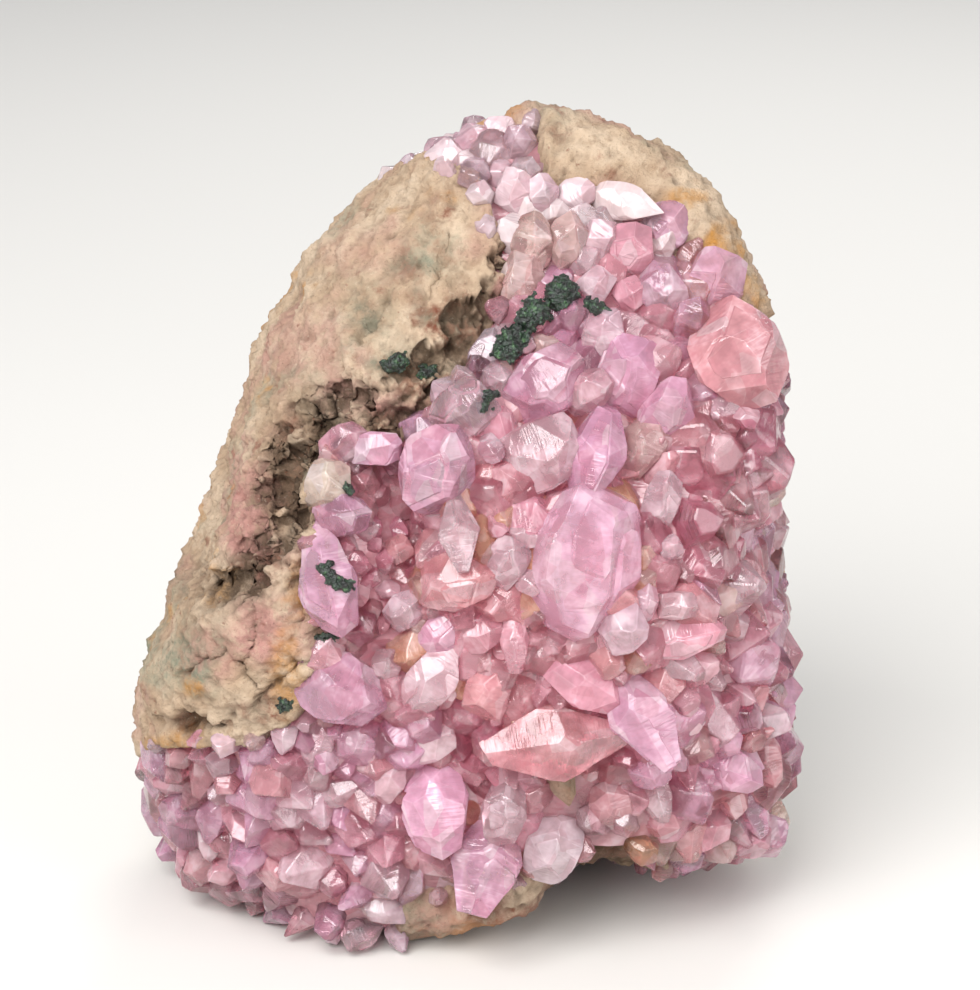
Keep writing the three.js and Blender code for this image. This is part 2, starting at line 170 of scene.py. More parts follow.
def linear(colour: str) -> tuple[float, float, float, float]:
    """Turn an sRGB hex colour to linear values.

    Args:
        colour: The colour, such as "#D9829E".

    Returns:
        Red, green and blue from 0 to 1, and a full alpha.
    """
    channels = [int(colour[i : i + 2], 16) / 255 for i in (1, 3, 5)]
    turned = [c / 12.92 if c <= 0.04045 else ((c + 0.055) / 1.055) ** 2.4 for c in channels]
    return (turned[0], turned[1], turned[2], 1.0)


@dataclass
class Recipe:
    """The node tree of one finish."""

    name: str
    material: bpy.types.Material = field(init=False)

    def __post_init__(self) -> None:
        """Start the material with an empty tree."""
        self.material = bpy.data.materials.new(self.name)
        self.material.use_nodes = True
        self.material.node_tree.nodes.clear()

    def add(self, kind: str, links: dict | None = None, **settings: object) -> bpy.types.Node:
        """Add a node.

        Args:
            kind: The node's type, such as ShaderNodeTexNoise.
            links: What each input, by name or number, holds: another node's output, or a plain
                value.
            settings: The node's own settings.

        Returns:
            The new node.
        """
        node = self.material.node_tree.nodes.new(kind)
        for name, value in settings.items():
            setattr(node, name, value)
        for name, value in (links or {}).items():
            socket = node.inputs[name]
            if isinstance(value, bpy.types.NodeSocket):
                self.material.node_tree.links.new(value, socket)
            else:
                socket.default_value = value
        return node


# ---- Natural relief ----


def fractal(points: np.ndarray, reach: float, octaves: int, seed: float = 0.0) -> np.ndarray:
    """Rough natural relief between about -1 and 1.

    Args:
        points: Where to read it, in millimetres.
        reach: The size of its largest features.
        octaves: How many times it repeats at half the size.
        seed: Another place in the same endless pattern.

    Returns:
        Its height at each point.
    """
    shifted = points / reach + np.array((seed, 1.7 * seed, -2.3 * seed))
    return np.array([noise.fractal(Vector(p), 0.75, 2.1, octaves) for p in shifted])


def ridged(points: np.ndarray, reach: float, octaves: int, seed: float = 0.0) -> np.ndarray:
    """Sharp crests and broad dips, from 0 to about 1.

    Args:
        points: Where to read them, in millimetres.
        reach: The size of the largest.
        octaves: How many times they repeat at half the size.
        seed: Another place in the same endless pattern.

    Returns:
        The height at each point.
    """
    shifted = points / reach + np.array((seed, 1.7 * seed, -2.3 * seed))
    read = [noise.ridged_multi_fractal(Vector(p), 0.9, 2.2, octaves, 1.0, 2.0) for p in shifted]
    return np.clip(np.array(read) / 2.5, 0, 1)


def cells(points: np.ndarray, reach: float, seed: float = 0.0) -> np.ndarray:
    """Distance to the nearest of scattered centres, from 0 at one to about 1 between them."""
    shifted = points / reach + np.array((seed, 1.7 * seed, -2.3 * seed))
    return np.array([noise.voronoi(Vector(p))[0][0] for p in shifted])


def blocks(points: np.ndarray, reach: float, seed: float = 0.0) -> np.ndarray:
    """Broken lumps: one level between -1 and 1 for each angular cell."""
    shifted = points / reach + np.array((seed, 1.7 * seed, -2.3 * seed))
    return np.array([noise.cell(noise.voronoi(Vector(p))[1][0] * 9.7) for p in shifted]) * 2 - 1


# ---- The lump and the plane that the druse is laid out on ----


@dataclass(frozen=True)
class FacePlane:
    """The plane through the lump's middle that leans back square to the druse's face.

    A place on it is [across, up], and stands for the sight line through it from the eye.
    """

    middle: tuple[float, float, float] = (-0.14, 0.3, 30.0)
    lean_degrees: float = 20.0
    eye_distance: float = 260.0

    @property
    def centre(self) -> Vector:
        """The lump's middle."""
        return Vector(self.middle)

    @property
    def across(self) -> Vector:
        """The way to the right."""
        return Vector((1, 0, 0))

    @property
    def up(self) -> Vector:
        """The way up the face."""
        lean = math.radians(self.lean_degrees)
        return Vector((0, math.sin(lean), math.cos(lean)))

    @property
    def out(self) -> Vector:
        """The way out of the face."""
        lean = math.radians(self.lean_degrees)
        return Vector((0, -math.cos(lean), math.sin(lean)))

    @property
    def eye(self) -> Vector:
        """The point that the druse is sighted from."""
        return self.centre + self.eye_distance * self.out

    def point(self, place: tuple[float, float]) -> Vector:
        """The point of the plane at a place."""
        return self.centre + place[0] * self.across + place[1] * self.up

    def sight_line(self, place: tuple[float, float]) -> Vector:
        """The way from the eye through a place."""
        return (self.point(place) - self.eye).normalized()

    def places(self, points: np.ndarray) -> np.ndarray:
        """Where points lie on the plane, as sighted from the eye.

        Args:
            points: The points, as rows in millimetres.

        Returns:
            A row of [across, up] for each.
        """
        rays = points - np.array(self.eye)
        scale = -self.eye_distance / (rays @ np.array(self.out))
        offset = rays * scale[:, None] + np.array(self.eye - self.centre)
        return np.stack([offset @ np.array(self.across), offset @ np.array(self.up)], axis=1)


FACE = FacePlane()


def distance_to_line(places: np.ndarray, line: list[tuple[float, float]]) -> np.ndarray:
    """How far places lie from a line of straight runs.

    Args:
        places: The places on the face plane, as rows.
        line: The corners of the line, in order.

    Returns:
        A distance for each place, below 0 on the right-hand side of the line.
    """
    nearest = np.full(len(places), np.inf)
    for start, end in zip(line, line[1:]):
        a, b = np.array(start), np.array(end)
        run = b - a
        off = places - a
        share = np.clip((off @ run) / (run @ run), 0, 1)
        gap = np.linalg.norm(off - share[:, None] * run, axis=1)
        gap *= np.where(run[0] * off[:, 1] - run[1] * off[:, 0] < 0, -1, 1)
        nearest = np.where(np.abs(gap) < np.abs(nearest), gap, nearest)
    return nearest


def inside_outline(places: np.ndarray, outline: list[tuple[float, float]]) -> np.ndarray:
    """Which places lie inside a closed outline.

    Args:
        places: The places on the face plane, as rows.
        outline: Its corners, in order.

    Returns:
        True for each place that is inside.
    """
    inside = np.zeros(len(places), bool)
    x, y = places[:, 0], places[:, 1]
    for (ax, ay), (bx, by) in zip(outline, outline[1:] + outline[:1]):
        crosses = (ay > y) != (by > y)
        rise = np.where(by == ay, 1e-9, by - ay)
        inside ^= crosses & (x < ax + (y - ay) / rise * (bx - ax))
    return inside


@dataclass(frozen=True)
class Dip:
    """A rounded hollow, or a knob, in the rock at a place on the face plane."""

    at: tuple[float, float]
    reach: tuple[float, float]
    depth: float

    def share(self, places: np.ndarray) -> np.ndarray:
        """How near each place is to its middle, from 1 there to 0 far off."""
        return np.exp(-(((places - self.at) / self.reach) ** 2).sum(1))

    def fall(self, places: np.ndarray) -> np.ndarray:
        """How far it takes the surface in, or out, at each place."""
        return self.depth * self.share(places)


@dataclass(frozen=True)
class Lump:
    """The overall shape: the fracture faces that bound it, and how it divides between rock
    and druse."""

    fractures: tuple = (
        ((-1, 0, -0.1), 27.8),
        ((-0.93, -0.05, 0.36), 18.9),
        ((-0.65, 0.1, 0.76), 24.2),
        ((-0.22, 0.1, 0.97), 31.2),
        ((0.55, 0.1, 0.83), 32.4),
        ((0.93, 0.1, 0.35), 26.6),
        ((1, -0.05, -0.15), 26.5),
        ((0.6, 0, -0.8), 39.5),
        ((0, 0, -1), 31.8),
        ((0.3, -0.33, -0.9), 30.2),
        ((-0.7, -0.1, -0.7), 39.5),
        ((-0.5, -0.62, 0.6), 20.5),
        ((0.1, -0.85, 0.52), 17.4),
        ((0, -1, -0.12), 18),
        ((-0.6, -0.75, -0.3), 25),
        ((0.7, -0.7, -0.15), 24),
        ((0, 1, 0.1), 16.8),
        ((0.6, 0.8, 0), 21.5),
        ((-0.6, 0.8, 0.1), 20),
        ((0.1, 0.7, 0.7), 28),
        ((0, 0.7, -0.7), 29),
    )
    edge_sharpness: float = 14.0
    swells: tuple = (
        ((24, -4, 1), 10, -4.4),
        ((-22, -4, -1), 5, -2.2),
        ((-21, -9, -10), 8, 1.6),
        ((-19, -12, -26), 9, 2),
        ((24, -6, -23), 9, 2.8),
    )
    druse_edge: tuple = (
        (0.6, 26.4), (-2.3, 28), (-3.4, 31), (0.7, 34), (6.0, 33), (5.8, 29.6), (6.3, 27.2),
        (8.2, 26.4), (11.2, 26.5), (15.2, 24.9), (18.7, 21.4), (20.9, 17.1), (25, 14.4),
        (29, 1.5), (29, -24), (24.2, -28.2), (17.3, -28.6), (13.9, -26.9), (9.8, -25.5),
        (5.6, -28.5), (1.4, -29.9), (-4.6, -30.6), (-6.1, -33), (-20.5, -33), (-28, -25),
        (-28, -18.9), (-24.3, -17), (-17.1, -17), (-13.7, -15), (-12.8, -12.9),
        (-12.8, -8.3), (-13.1, -3), (-13, 2.7), (-11.1, 7.2), (-5.4, 7.4), (-3, 9.2),
        (-1.2, 11.7), (1.4, 14.4), (2.5, 17.4), (2.2, 21.2), (1.2, 24.2),
    )  # fmt: skip
    back_edge: float = 4.3  # the druse ends here round the sides
    edge_wander: float = 3.4  # how far its edge strays there, and how long its bends are
    edge_bends: float = 11.0
    crest_patch: tuple[float, float, float] = (0.36, 8.8, 56.0)
    crest_reach: float = 7.5
    hollow: tuple[float, float] = (-6.6, 0.5)
    hollow_across: float = 3.2
    hollow_up: float = 8.0
    hollow_depth: float = 4.5
    knob: Dip = Dip((7.3, -20.8), (1.5, 2.1), 5.8)  # rock that stands up through the druse
    knob_clear: float = 2.7  # how far the small crystals keep from it

    def radius(self, ways: np.ndarray) -> np.ndarray:
        """How far the lump reaches from its middle along each way.

        Args:
            ways: The ways, as rows of unit length.

        Returns:
            A radius for each way, in millimetres.
        """
        nearness = np.zeros(len(ways))
        for facing, out in self.fractures:
            unit = np.array(facing) / np.linalg.norm(facing)
            nearness += np.clip(ways @ unit / out, 0, None) ** self.edge_sharpness
        radius = nearness ** (-1 / self.edge_sharpness)
        points = ways * radius[:, None]
        for at, reach, rise in self.swells:
            radius += rise * np.exp(-((points - np.array(at)) ** 2).sum(1) / reach**2)
        return radius

    def druse_margin(self, points: np.ndarray) -> np.ndarray:
        """How far inside the druse's area points lie.

        Args:
            points: Points of the lump, as rows in millimetres.

        Returns:
            How far inside each is; below 0 it lies on the rock.
        """
        places = FACE.places(points)
        outline = list(self.druse_edge)
        gap = np.abs(distance_to_line(places, outline + outline[:1]))
        front = np.where(inside_outline(places, outline), gap, -gap)
        wander = self.edge_wander * fractal(points, self.edge_bends, 4, 17.0)
        front = np.minimum(front, self.back_edge + wander - points[:, 1])
        crest = self.crest_reach + 0.6 * wander
        crest -= np.linalg.norm(points - np.array(self.crest_patch), axis=1)
        return np.maximum(front, crest)

    def hollow_at(self, points: np.ndarray) -> np.ndarray:
        """How much deeper the druse's bed lies, in the hollow beside its left rim.

        Args:
            points: Points of the lump, as rows in millimetres.

        Returns:
            How much deeper it lies at each point.
        """
        places = FACE.places(points) - np.array(self.hollow)
        fall = (places[:, 0] / self.hollow_across) ** 2 + (places[:, 1] / self.hollow_up) ** 2
        return np.where(points[:, 1] < FACE.middle[1], self.hollow_depth * np.exp(-fall), 0)


LUMP = Lump()


# ---- Finishes ----


@dataclass(frozen=True)
class HostRockFinish:
    """Carbonate host rock, broken and weathered: dry, matt and sandy, with stains."""

    sand: str = "#B69C82"
    pale_sand: str = "#CBB49B"
    light_grain: str = "#E0D2BE"
    buff: str = "#967C64"
    grey_green: str = "#8A8A76"
    rose: str = "#B4867C"
    ochre: str = "#BB8540"
    rust: str = "#7E4A38"
    dark_brown: str = "#4C392A"
    crust: str = "#E6BDC5"  # the first calcite to grow, under the crystals
    grain: float = 0.25  # sand grains, 0.2 to 0.3 mm
    roughness: float = 0.92

    def build(self) -> bpy.types.Material:
        """Make the material: sandy colour in patches, stains, painted shade in recesses, gritty relief.

        Returns:
            The material.
        """
        recipe = Recipe("broken_carbonate_rock")
        add = recipe.add
        place = add("ShaderNodeTexCoord").outputs["Object"]
        noises = [
            add(
                "ShaderNodeTexNoise",
                {"Vector": place, "Scale": 1 / (size * MM), "Detail": 6.0, "Roughness": rough},
            ).outputs["Fac"]
            for size, rough in ((6, 0.5), (1.3, 0.7), (self.grain, 0.7), (0.55, 0.5))
        ]
        patch, fleck, grit, speck = noises
        marks = add("ShaderNodeAttribute", attribute_name="stains").outputs["Color"]
        # The attribute read next holds painted shade in its red channel, paler broken layers in green
        # and rust in blue.
        shade_breaks_rust = add("ShaderNodeAttribute", attribute_name="painted_shade").outputs["Color"]
        green, ochre, rose = add("ShaderNodeSeparateColor", {"Color": marks}).outputs
        dark, pale, rust = add("ShaderNodeSeparateColor", {"Color": shade_breaks_rust}).outputs
        colour = linear(self.sand)
        for over, value, low, high, most, by in (
            (self.pale_sand, patch, 0.42, 0.58, 1.0, None),
            (self.rose, patch, 0.45, 0.3, 0.45, None),
            (self.buff, fleck, 0.5, 0.7, 0.65, None),
            (self.rose, fleck, 0.25, 0.55, 1.0, rose),
            (self.grey_green, fleck, 0.7, 0.35, 1.0, green),
            (self.ochre, fleck, 0.3, 0.6, 1.0, ochre),
            (self.rust, fleck, 0.4, 0.6, 1.0, rust),
            # Dark brown laid over as painted shade in recesses, cracks, pits and under the druse.
            (self.dark_brown, fleck, 0.8, 0.4, 0.9, dark),
            (self.pale_sand, fleck, 0.3, 0.5, 1.0, pale),
            (self.dark_brown, grit, 0.55, 0.75, 0.55, None),
            (self.light_grain, grit, 0.42, 0.26, 0.4, None),
            (self.rust, speck, 0.66, 0.76, 0.6, None),
        ):
            share = add(
                "ShaderNodeMapRange",
                {"Value": value, "From Min": low, "From Max": high, "To Max": most},
                interpolation_type="SMOOTHSTEP",
            ).outputs[0]
            if by is not None:
                share = add("ShaderNodeMath", {0: share, 1: by}, operation="MULTIPLY").outputs[0]
            colour = add(
                "ShaderNodeMix", {0: share, 6: colour, 7: linear(over)}, data_type="RGBA"
            ).outputs[2]
        buried = add("ShaderNodeAttribute", attribute_name="buried").outputs["Fac"]
        colour = add(
            "ShaderNodeMix", {0: buried, 6: colour, 7: linear(self.crust)}, data_type="RGBA"
        ).outputs[2]
        relief = add("ShaderNodeBump", {"Height": fleck, "Distance": 0.6 * MM, "Strength": 0.75})
        gritty = add(
            "ShaderNodeBump",
            {
                "Height": grit,
                "Distance": 0.25 * MM,
                "Strength": 0.85,
                "Normal": relief.outputs["Normal"],
            },
        )
        surface = add(
            "ShaderNodeBsdfPrincipled",
            {
                "Base Color": colour,
                "Roughness": self.roughness,
                "IOR": 1.45,
                "Specular IOR Level": 0.3,
                "Normal": gritty.outputs["Normal"],
            },
        )
        add("ShaderNodeOutputMaterial", {"Surface": surface.outputs[0]})
        return recipe.material


@dataclass(frozen=True)
class CobaltoanCalciteFinish:
    """Cobalt-bearing calcite, grown in a cavity: glassy facets over a body that is clear in
    places and clouded by veils of inner fractures, rose where it is deep."""

    veil: str = "#FBEFF2"
    deep: str = "#D4808F"
    ior: float = 1.6
    roughness: float = 0.08
    absorbed: str = "#F39DB8"
    density: float = 100.0  # per metre: a crystal 5 mm thick still lets rose light through

    def build(self) -> bpy.types.Material:
        """Make the material: clear and clouded parts, and an inside that absorbs.

        Returns:
            The material.
        """
        recipe = Recipe("cobaltoan_calcite_crystal")
        add = recipe.add
        tint = add("ShaderNodeAttribute", attribute_name="tint")
        colour = tint.outputs["Color"]
        own = add("ShaderNodeAttribute", attribute_name="grown").outputs["Vector"]
        place = add("ShaderNodeTexCoord").outputs["Object"]
        veils = add(
            "ShaderNodeTexNoise",
            {"Vector": own, "Scale": 0.45, "Detail": 3.0, "Roughness": 0.6},
        ).outputs["Fac"]
        clouds = add(
            "ShaderNodeTexNoise", {"Vector": place, "Scale": 1 / (7 * MM), "Detail": 1.0}
        ).outputs["Fac"]
        flaws = add("ShaderNodeMapping", {"Vector": own, "Scale": (0.5, 0.8, 0.4)}).outputs[0]
        flaws = add("ShaderNodeTexVoronoi", {"Vector": flaws, "Scale": 1.0}).outputs["Color"]
        flaw, blush, _ = add("ShaderNodeSeparateColor", {"Color": flaws}).outputs
        for over, value, low, high, most in (
            (self.deep, clouds, 0.5, 0.8, 0.25),
            (self.deep, blush, 0.6, 1.0, 0.3),
            (self.veil, flaw, 0.6, 1.0, 0.45),
            (self.veil, veils, 0.55, 0.75, 0.4),
        ):
            share = add(
                "ShaderNodeMapRange",
                {"Value": value, "From Min": low, "From Max": high, "To Max": most},
            ).outputs[0]
            colour = add(
                "ShaderNodeMix", {0: share, 6: colour, 7: linear(over)}, data_type="RGBA"
            ).outputs[2]
        unclouded = add(
            "ShaderNodeMapRange",
            {"Value": veils, "From Min": 0.4, "From Max": 0.65, "To Min": 1.1, "To Max": 0.75},
        ).outputs[0]
        clearness = add(
            "ShaderNodeMath", {0: tint.outputs["Alpha"], 1: unclouded}, operation="MULTIPLY"
        ).outputs[0]
        waves = add("ShaderNodeTexNoise", {"Vector": own, "Scale": 0.8, "Detail": 1.0})
        lines = add("ShaderNodeMapping", {"Vector": own, "Scale": (0.5, 0.5, 5.0)})
        striae = add("ShaderNodeTexNoise", {"Vector": lines.outputs[0], "Scale": 1.0, "Detail": 2.0})
        swell = add(
            "ShaderNodeBump",
            {"Height": waves.outputs["Fac"], "Distance": 0.3 * MM, "Strength": 0.4},
        )
        etched = add(
            "ShaderNodeBump",
            {
                "Height": striae.outputs["Fac"],
                "Distance": 0.1 * MM,
                "Strength": 0.6,
                "Normal": swell.outputs["Normal"],
            },
        )
        surface = add(
            "ShaderNodeBsdfPrincipled",
            {
                "Base Color": colour,
                "Roughness": self.roughness,
                "IOR": self.ior,
                "Transmission Weight": clearness,
                "Normal": etched.outputs["Normal"],
            },
        )
        inside = add(
            "ShaderNodeVolumeAbsorption",
            {"Color": linear(self.absorbed), "Density": self.density},
        )
        add(
            "ShaderNodeOutputMaterial",
            {"Surface": surface.outputs[0], "Volume": inside.outputs[0]},
        )
        return recipe.material


@dataclass(frozen=True)
class MalachiteFinish:
    """Malachite in fine crystalline grains: dark green with a dull silky sparkle."""

    dark: str = "#070905"
    green: str = "#1B3320"
    light: str = "#5B8050"
    roughness: float = 0.5

    def build(self) -> bpy.types.Material:
        """Make the material: green of three depths in small patches, over gritty relief.

        Returns:
            The material.
        """
        recipe = Recipe("granular_malachite")
        add = recipe.add
        place = add("ShaderNodeTexCoord").outputs["Object"]
        patches = add(
            "ShaderNodeTexNoise",
            {"Vector": place, "Scale": 1 / (0.5 * MM), "Detail": 5.0, "Roughness": 0.7},
        )
        depth = add("ShaderNodeValToRGB", {"Fac": patches.outputs["Fac"]})
        depth.color_ramp.elements[0].position = 0.42
        depth.color_ramp.elements[0].color = linear(self.dark)
        depth.color_ramp.elements[1].position = 0.72
        depth.color_ramp.elements[1].color = linear(self.light)
        middle = depth.color_ramp.elements.new(0.57)
        middle.color = linear(self.green)
        relief = add(
            "ShaderNodeBump",
            {"Height": patches.outputs["Fac"], "Distance": 0.15 * MM, "Strength": 0.8},
        )
        surface = add(
            "ShaderNodeBsdfPrincipled",
            {
                "Base Color": depth.outputs["Color"],
                "Roughness": self.roughness,
                "IOR": 1.65,
                "Normal": relief.outputs["Normal"],
            },
        )
        add("ShaderNodeOutputMaterial", {"Surface": surface.outputs[0]})
        return recipe.material


# ---- The host rock ----


@dataclass(frozen=True)
class Stain:
    """A patch of another colour on the rock, at a place on the face plane."""

    at: tuple[float, float]
    reach: tuple[float, float]
    strength: float = 1.0

    def share(self, places: np.ndarray, ragged: np.ndarray) -> np.ndarray:
        """How much of each place the patch takes, with a ragged edge.

        Args:
            places: The places on the face plane, as rows.
            ragged: A rough relief that breaks up its edge.

        Returns:
            Its share of each place, from 0 to its strength.
        """
        off = (places - np.array(self.at)) / np.array(self.reach)
        fall = np.sqrt((off**2).sum(1)) + 0.45 * ragged
        return self.strength * smoothstep(1.25, 0.45, fall)


@dataclass
class HostRock:
    """The lump of host rock: smooth weathered faces, a splintered broken edge along the druse,
    and a crevice that splits its left side."""

    bed_depth: float = 4.6  # under the druse
    refined_behind: tuple = (60.0, 6.0)  # how far behind the face plane each finer round goes
    stray: float = 0.6  # how far its breaks stray from straight runs
    lip: tuple = (
        (2.9, 22.5), (2.3, 21.6), (0.6, 17.6), (-1.9, 15.8), (-4.8, 12.6), (-6.7, 10.7),
        (-9.2, 8.9),
    )  # fmt: skip
    splinters_end: tuple[float, float] = (6.0, 4.6)  # past the lip: gone, and still whole
    splinters_top: tuple[float, float] = (24.4, 23.2)  # up the face: the same
    crevice: tuple = (
        (-9.6, 9.3), (-12.5, 7.6), (-14.4, 5.0), (-15.2, 2.2), (-14.2, 0.6), (-15.4, -2.2),
        (-17.4, -4.2), (-19.5, -5.4),
    )  # fmt: skip
    crevice_size: tuple[float, float] = (1.1, 1.4)  # half its width, and its depth
    crumbled: float = 1.9  # how far the crumbly rock goes on either side of it
    side_crack: tuple = ((-13.4, 3.0), (-13.4, 0.2), (-13.6, -4.0), (-13.2, -7.5))
    side_crack_size: tuple[float, float] = (0.5, 1.2)
    fissure_size: tuple[float, float] = (0.3, 0.8)
    fissures: tuple = (
        ((-17.4, -4.4), (-16.6, -8.4), (-17.5, -11.8)),
        ((-22.2, -11.6), (-18.7, -9.8), (-16.3, -12.6)),
        ((-4.0, 16.4), (-2.6, 17.8), (-1.6, 21.4)),
        ((-8.6, 13.7), (-6.0, 17.0)),
        ((-16.6, -14.2), (-14.2, -11.8), (-13.2, -10.4)),
    )
    cavity: Dip = Dip((-21.2, -15.7), (2.3, 0.75), 2.6)
    under_druse: Dip = Dip((10.8, -25.9), (4.0, 1.3), 2.4)
    undercut: Dip = Dip((10.6, -29.5), (5.6, 2.6), 3.4)  # the foot below it
    along_beds: tuple[float, float, float] = (0.75, 0.15, 0.64)  # the way its bedding runs
    across_beds: tuple[float, float, float] = (-0.6, 0.35, 0.72)
    # Brown rust stains; those over the cavity, under the druse and at its foot also paint the shade
    # that falls there.
    brown: tuple = (
        Stain((-0.6, 15.4), (3.4, 2.2)),
        Stain((-4.6, 11.0), (2.8, 1.6)),
        Stain((-8.6, 7.9), (2.6, 1.0)),
        Stain((-14.3, 3.2), (1.3, 4.2)),
        Stain((-16.9, -3.6), (2.2, 1.1)),
        Stain((-21.4, -15.6), (2.4, 0.9), 1.3),
        Stain((-15.8, -14.4), (2.4, 1.1), 0.8),
        Stain((9.8, -25.9), (4.6, 1.6), 1.2),
        Stain((7.1, 29.6), (1.2, 0.7), 0.9),
        Stain((3.0, -29.8), (5.0, 0.8), 0.8),
        Stain((10.6, -29.5), (5.0, 2.2), 0.9),
        Stain((-4.6, 18.6), (1.4, 2.6), 0.5),
        Stain((-2.4, 23.6), (1.0, 2.2), 0.5),
        Stain((7.9, -19.4), (1.0, 1.4), 0.8),
    )
    green: tuple = (
        Stain((-5.8, 11.8), (1.9, 1.0), 0.9),
        Stain((-1.4, 15.4), (2.4, 0.8), 0.8),
        Stain((-22.6, -10.8), (2.6, 2.2), 0.8),
        Stain((-13.4, 4.6), (1.0, 2.4), 0.9),
        Stain((-2.7, 20.2), (2.4, 2.4), 0.65),
        Stain((-7.6, 16.4), (3.0, 2.4), 0.35),
        Stain((-11.4, 8.0), (1.2, 1.0), 0.6),
        Stain((7.4, -19.8), (1.6, 1.4), 0.7),
    )
    ochre: tuple = (
        Stain((19.0, 18.6), (1.5, 3.8), 1.3),
        Stain((15.9, 24.2), (1.8, 0.9), 0.6),
        Stain((-14.0, -11.4), (1.3, 3.6), 0.6),
        Stain((-13.2, -5.2), (0.8, 2.4), 0.5),
        Stain((-21.0, -12.6), (1.0, 0.8), 0.8),
        Stain((-22.6, -16.9), (2.4, 0.8), 0.6),
        Stain((1.0, -31.0), (5.0, 1.2), 0.5),
    )
    rose: tuple = (
        Stain((-13.0, 13.0), (4.6, 3.4), 0.55),
        Stain((-17.4, 1.4), (1.6, 5.2), 0.8),
        Stain((-9.6, 9.4), (3.2, 1.6), 0.5),
        Stain((-8.0, 20.4), (4.0, 2.2), 0.3),
        Stain((-16.0, -8.4), (1.8, 2.4), 0.45),
        Stain((-19.8, -19.6), (4.6, 2.0), 0.8),
        Stain((2.4, 18.0), (0.8, 1.6), 1.0),
        Stain((-1.0, -30.8), (6.5, 1.4), 0.8),
    )

    def build(self) -> bpy.types.Object:
        """Shape the rock from a ball of triangles.

        Returns:
            The finished piece.
        """
        deselect()
        bpy.ops.mesh.primitive_ico_sphere_add(subdivisions=6, radius=1.0)
        piece = bpy.context.object
        piece.name = "host_rock"
        mesh = piece.data
        for depth_behind in self.refined_behind:
            self.refine(piece, depth_behind)
        ways = points_of(mesh) * MM
        ways /= np.linalg.norm(ways, axis=1)[:, None]
        reach = LUMP.radius(ways)
        outer = ways * reach[:, None] + np.array(FACE.middle)
        margin = LUMP.druse_margin(outer)
        ragged = fractal(outer, 3.2, 3, 5.1)
        sunk = smoothstep(0.1, 1.7, margin + 0.35 * ragged)
        places = FACE.places(outer)
        front = outer[:, 1] < LUMP.back_edge
        knob = np.where(front, LUMP.knob.share(places), 0)
        depth = sunk * (self.bed_depth + LUMP.hollow_at(outer)) - LUMP.knob.depth * knob
        move_points(mesh, ways * (reach - depth)[:, None] + np.array(FACE.middle))
        self.weather(mesh, outer, places, front, sunk * (1 - knob))
        mesh.materials.append(HostRockFinish().build())
        take_up(piece)
        bpy.ops.object.shade_smooth()
        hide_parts("matrix_rock")
        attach(piece, BODY)
        log.info("host rock: %d faces", len(mesh.polygons))
        return piece

    def refine(self, piece: bpy.types.Object, depth_behind: float) -> None:
        """Split the faces of the bare rock into four.

        Args:
            piece: The ball.
            depth_behind: How far behind the face plane this goes on.
        """
        mesh = piece.data
        ways = points_of(mesh) * MM
        ways /= np.linalg.norm(ways, axis=1)[:, None]
        outer = ways * LUMP.radius(ways)[:, None] + np.array(FACE.middle)
        behind = (np.array(FACE.middle) - outer) @ np.array(FACE.out)
        near = (LUMP.druse_margin(outer) < 2.2) & (behind < depth_behind) & (outer[:, 2] > 1)
        corners = np.empty(len(mesh.loops), int)
        mesh.loops.foreach_get("vertex_index", corners)
        chosen = near[corners.reshape(-1, 3)].all(1)
        take_up(piece)
        bpy.ops.object.mode_set(mode="EDIT")
        bpy.ops.mesh.select_mode(type="FACE")
        bpy.ops.mesh.select_all(action="DESELECT")
        bpy.ops.object.mode_set(mode="OBJECT")
        mesh.polygons.foreach_set("select", chosen)
        bpy.ops.object.mode_set(mode="EDIT")
        bpy.ops.mesh.subdivide(number_cuts=1)
        bpy.ops.mesh.select_all(action="SELECT")
        bpy.ops.mesh.quads_convert_to_tris()
        bpy.ops.object.mode_set(mode="OBJECT")

    def weather(
        self,
        mesh: bpy.types.Mesh,
        outer: np.ndarray,
        places: np.ndarray,
        front: np.ndarray,
        sunk: np.ndarray,
    ) -> None:
        """Give the rock its relief, and note where it is stained and where painted shade darkens its
        hollows.

        Args:
            mesh: The rock in its broad shape.
            outer: Where each vertex lay on the lump.
            places: The same on the face plane.
            front: Which of them the druse's side shows.
            sunk: How far each has gone under the druse, from 0 to 1.
        """
        bare = 1 - sunk
        wander = np.stack([fractal(outer, 2.0, 4, s) for s in (11.0, 14.0)], axis=1)
        wavy = places + self.stray * wander
        past_lip = distance_to_line(wavy, list(self.lip))
        splinter = smoothstep(-0.05, 0.3, past_lip) * smoothstep(*self.splinters_end, past_lip)
        splinter = splinter * front * smoothstep(*self.splinters_top, places[:, 1])
        beside = distance_to_line(wavy, list(self.crevice))
        crumbly = np.where(front, np.exp(-((beside / self.crumbled) ** 2)), 0)
        crumbly = np.maximum(splinter, crumbly)
        deep = np.zeros(len(outer))
        for line, (width, fall) in (
            (self.crevice, self.crevice_size),
            (self.side_crack, self.side_crack_size),
            *((fissure, self.fissure_size) for fissure in self.fissures),
        ):
            gap = distance_to_line(wavy, list(line))
            deep += fall * np.exp(-((gap / (width * (1 + 0.5 * wander[:, 0]))) ** 2))
        deep = np.where(front, deep + self.cavity.fall(wavy) + self.under_druse.fall(wavy), 0)
        base = np.where(front, self.undercut.fall(wavy), 0)
        # The scarp under the lip drops at once, and then slopes away.
        scarp = 0.6 * smoothstep(0.0, 0.7, past_lip) + 0.8 * smoothstep(0.4, 4.5, past_lip)
        points = points_of(mesh)
        ways = points - np.array(FACE.middle)
        ways /= np.linalg.norm(ways, axis=1)[:, None]
        foot = smoothstep(0.0, 1.5, points[:, 2])
        fallen = (splinter * scarp * bare + deep * bare) * foot + base * bare
        points = points - ways * fallen[:, None]
        move_points(mesh, points)

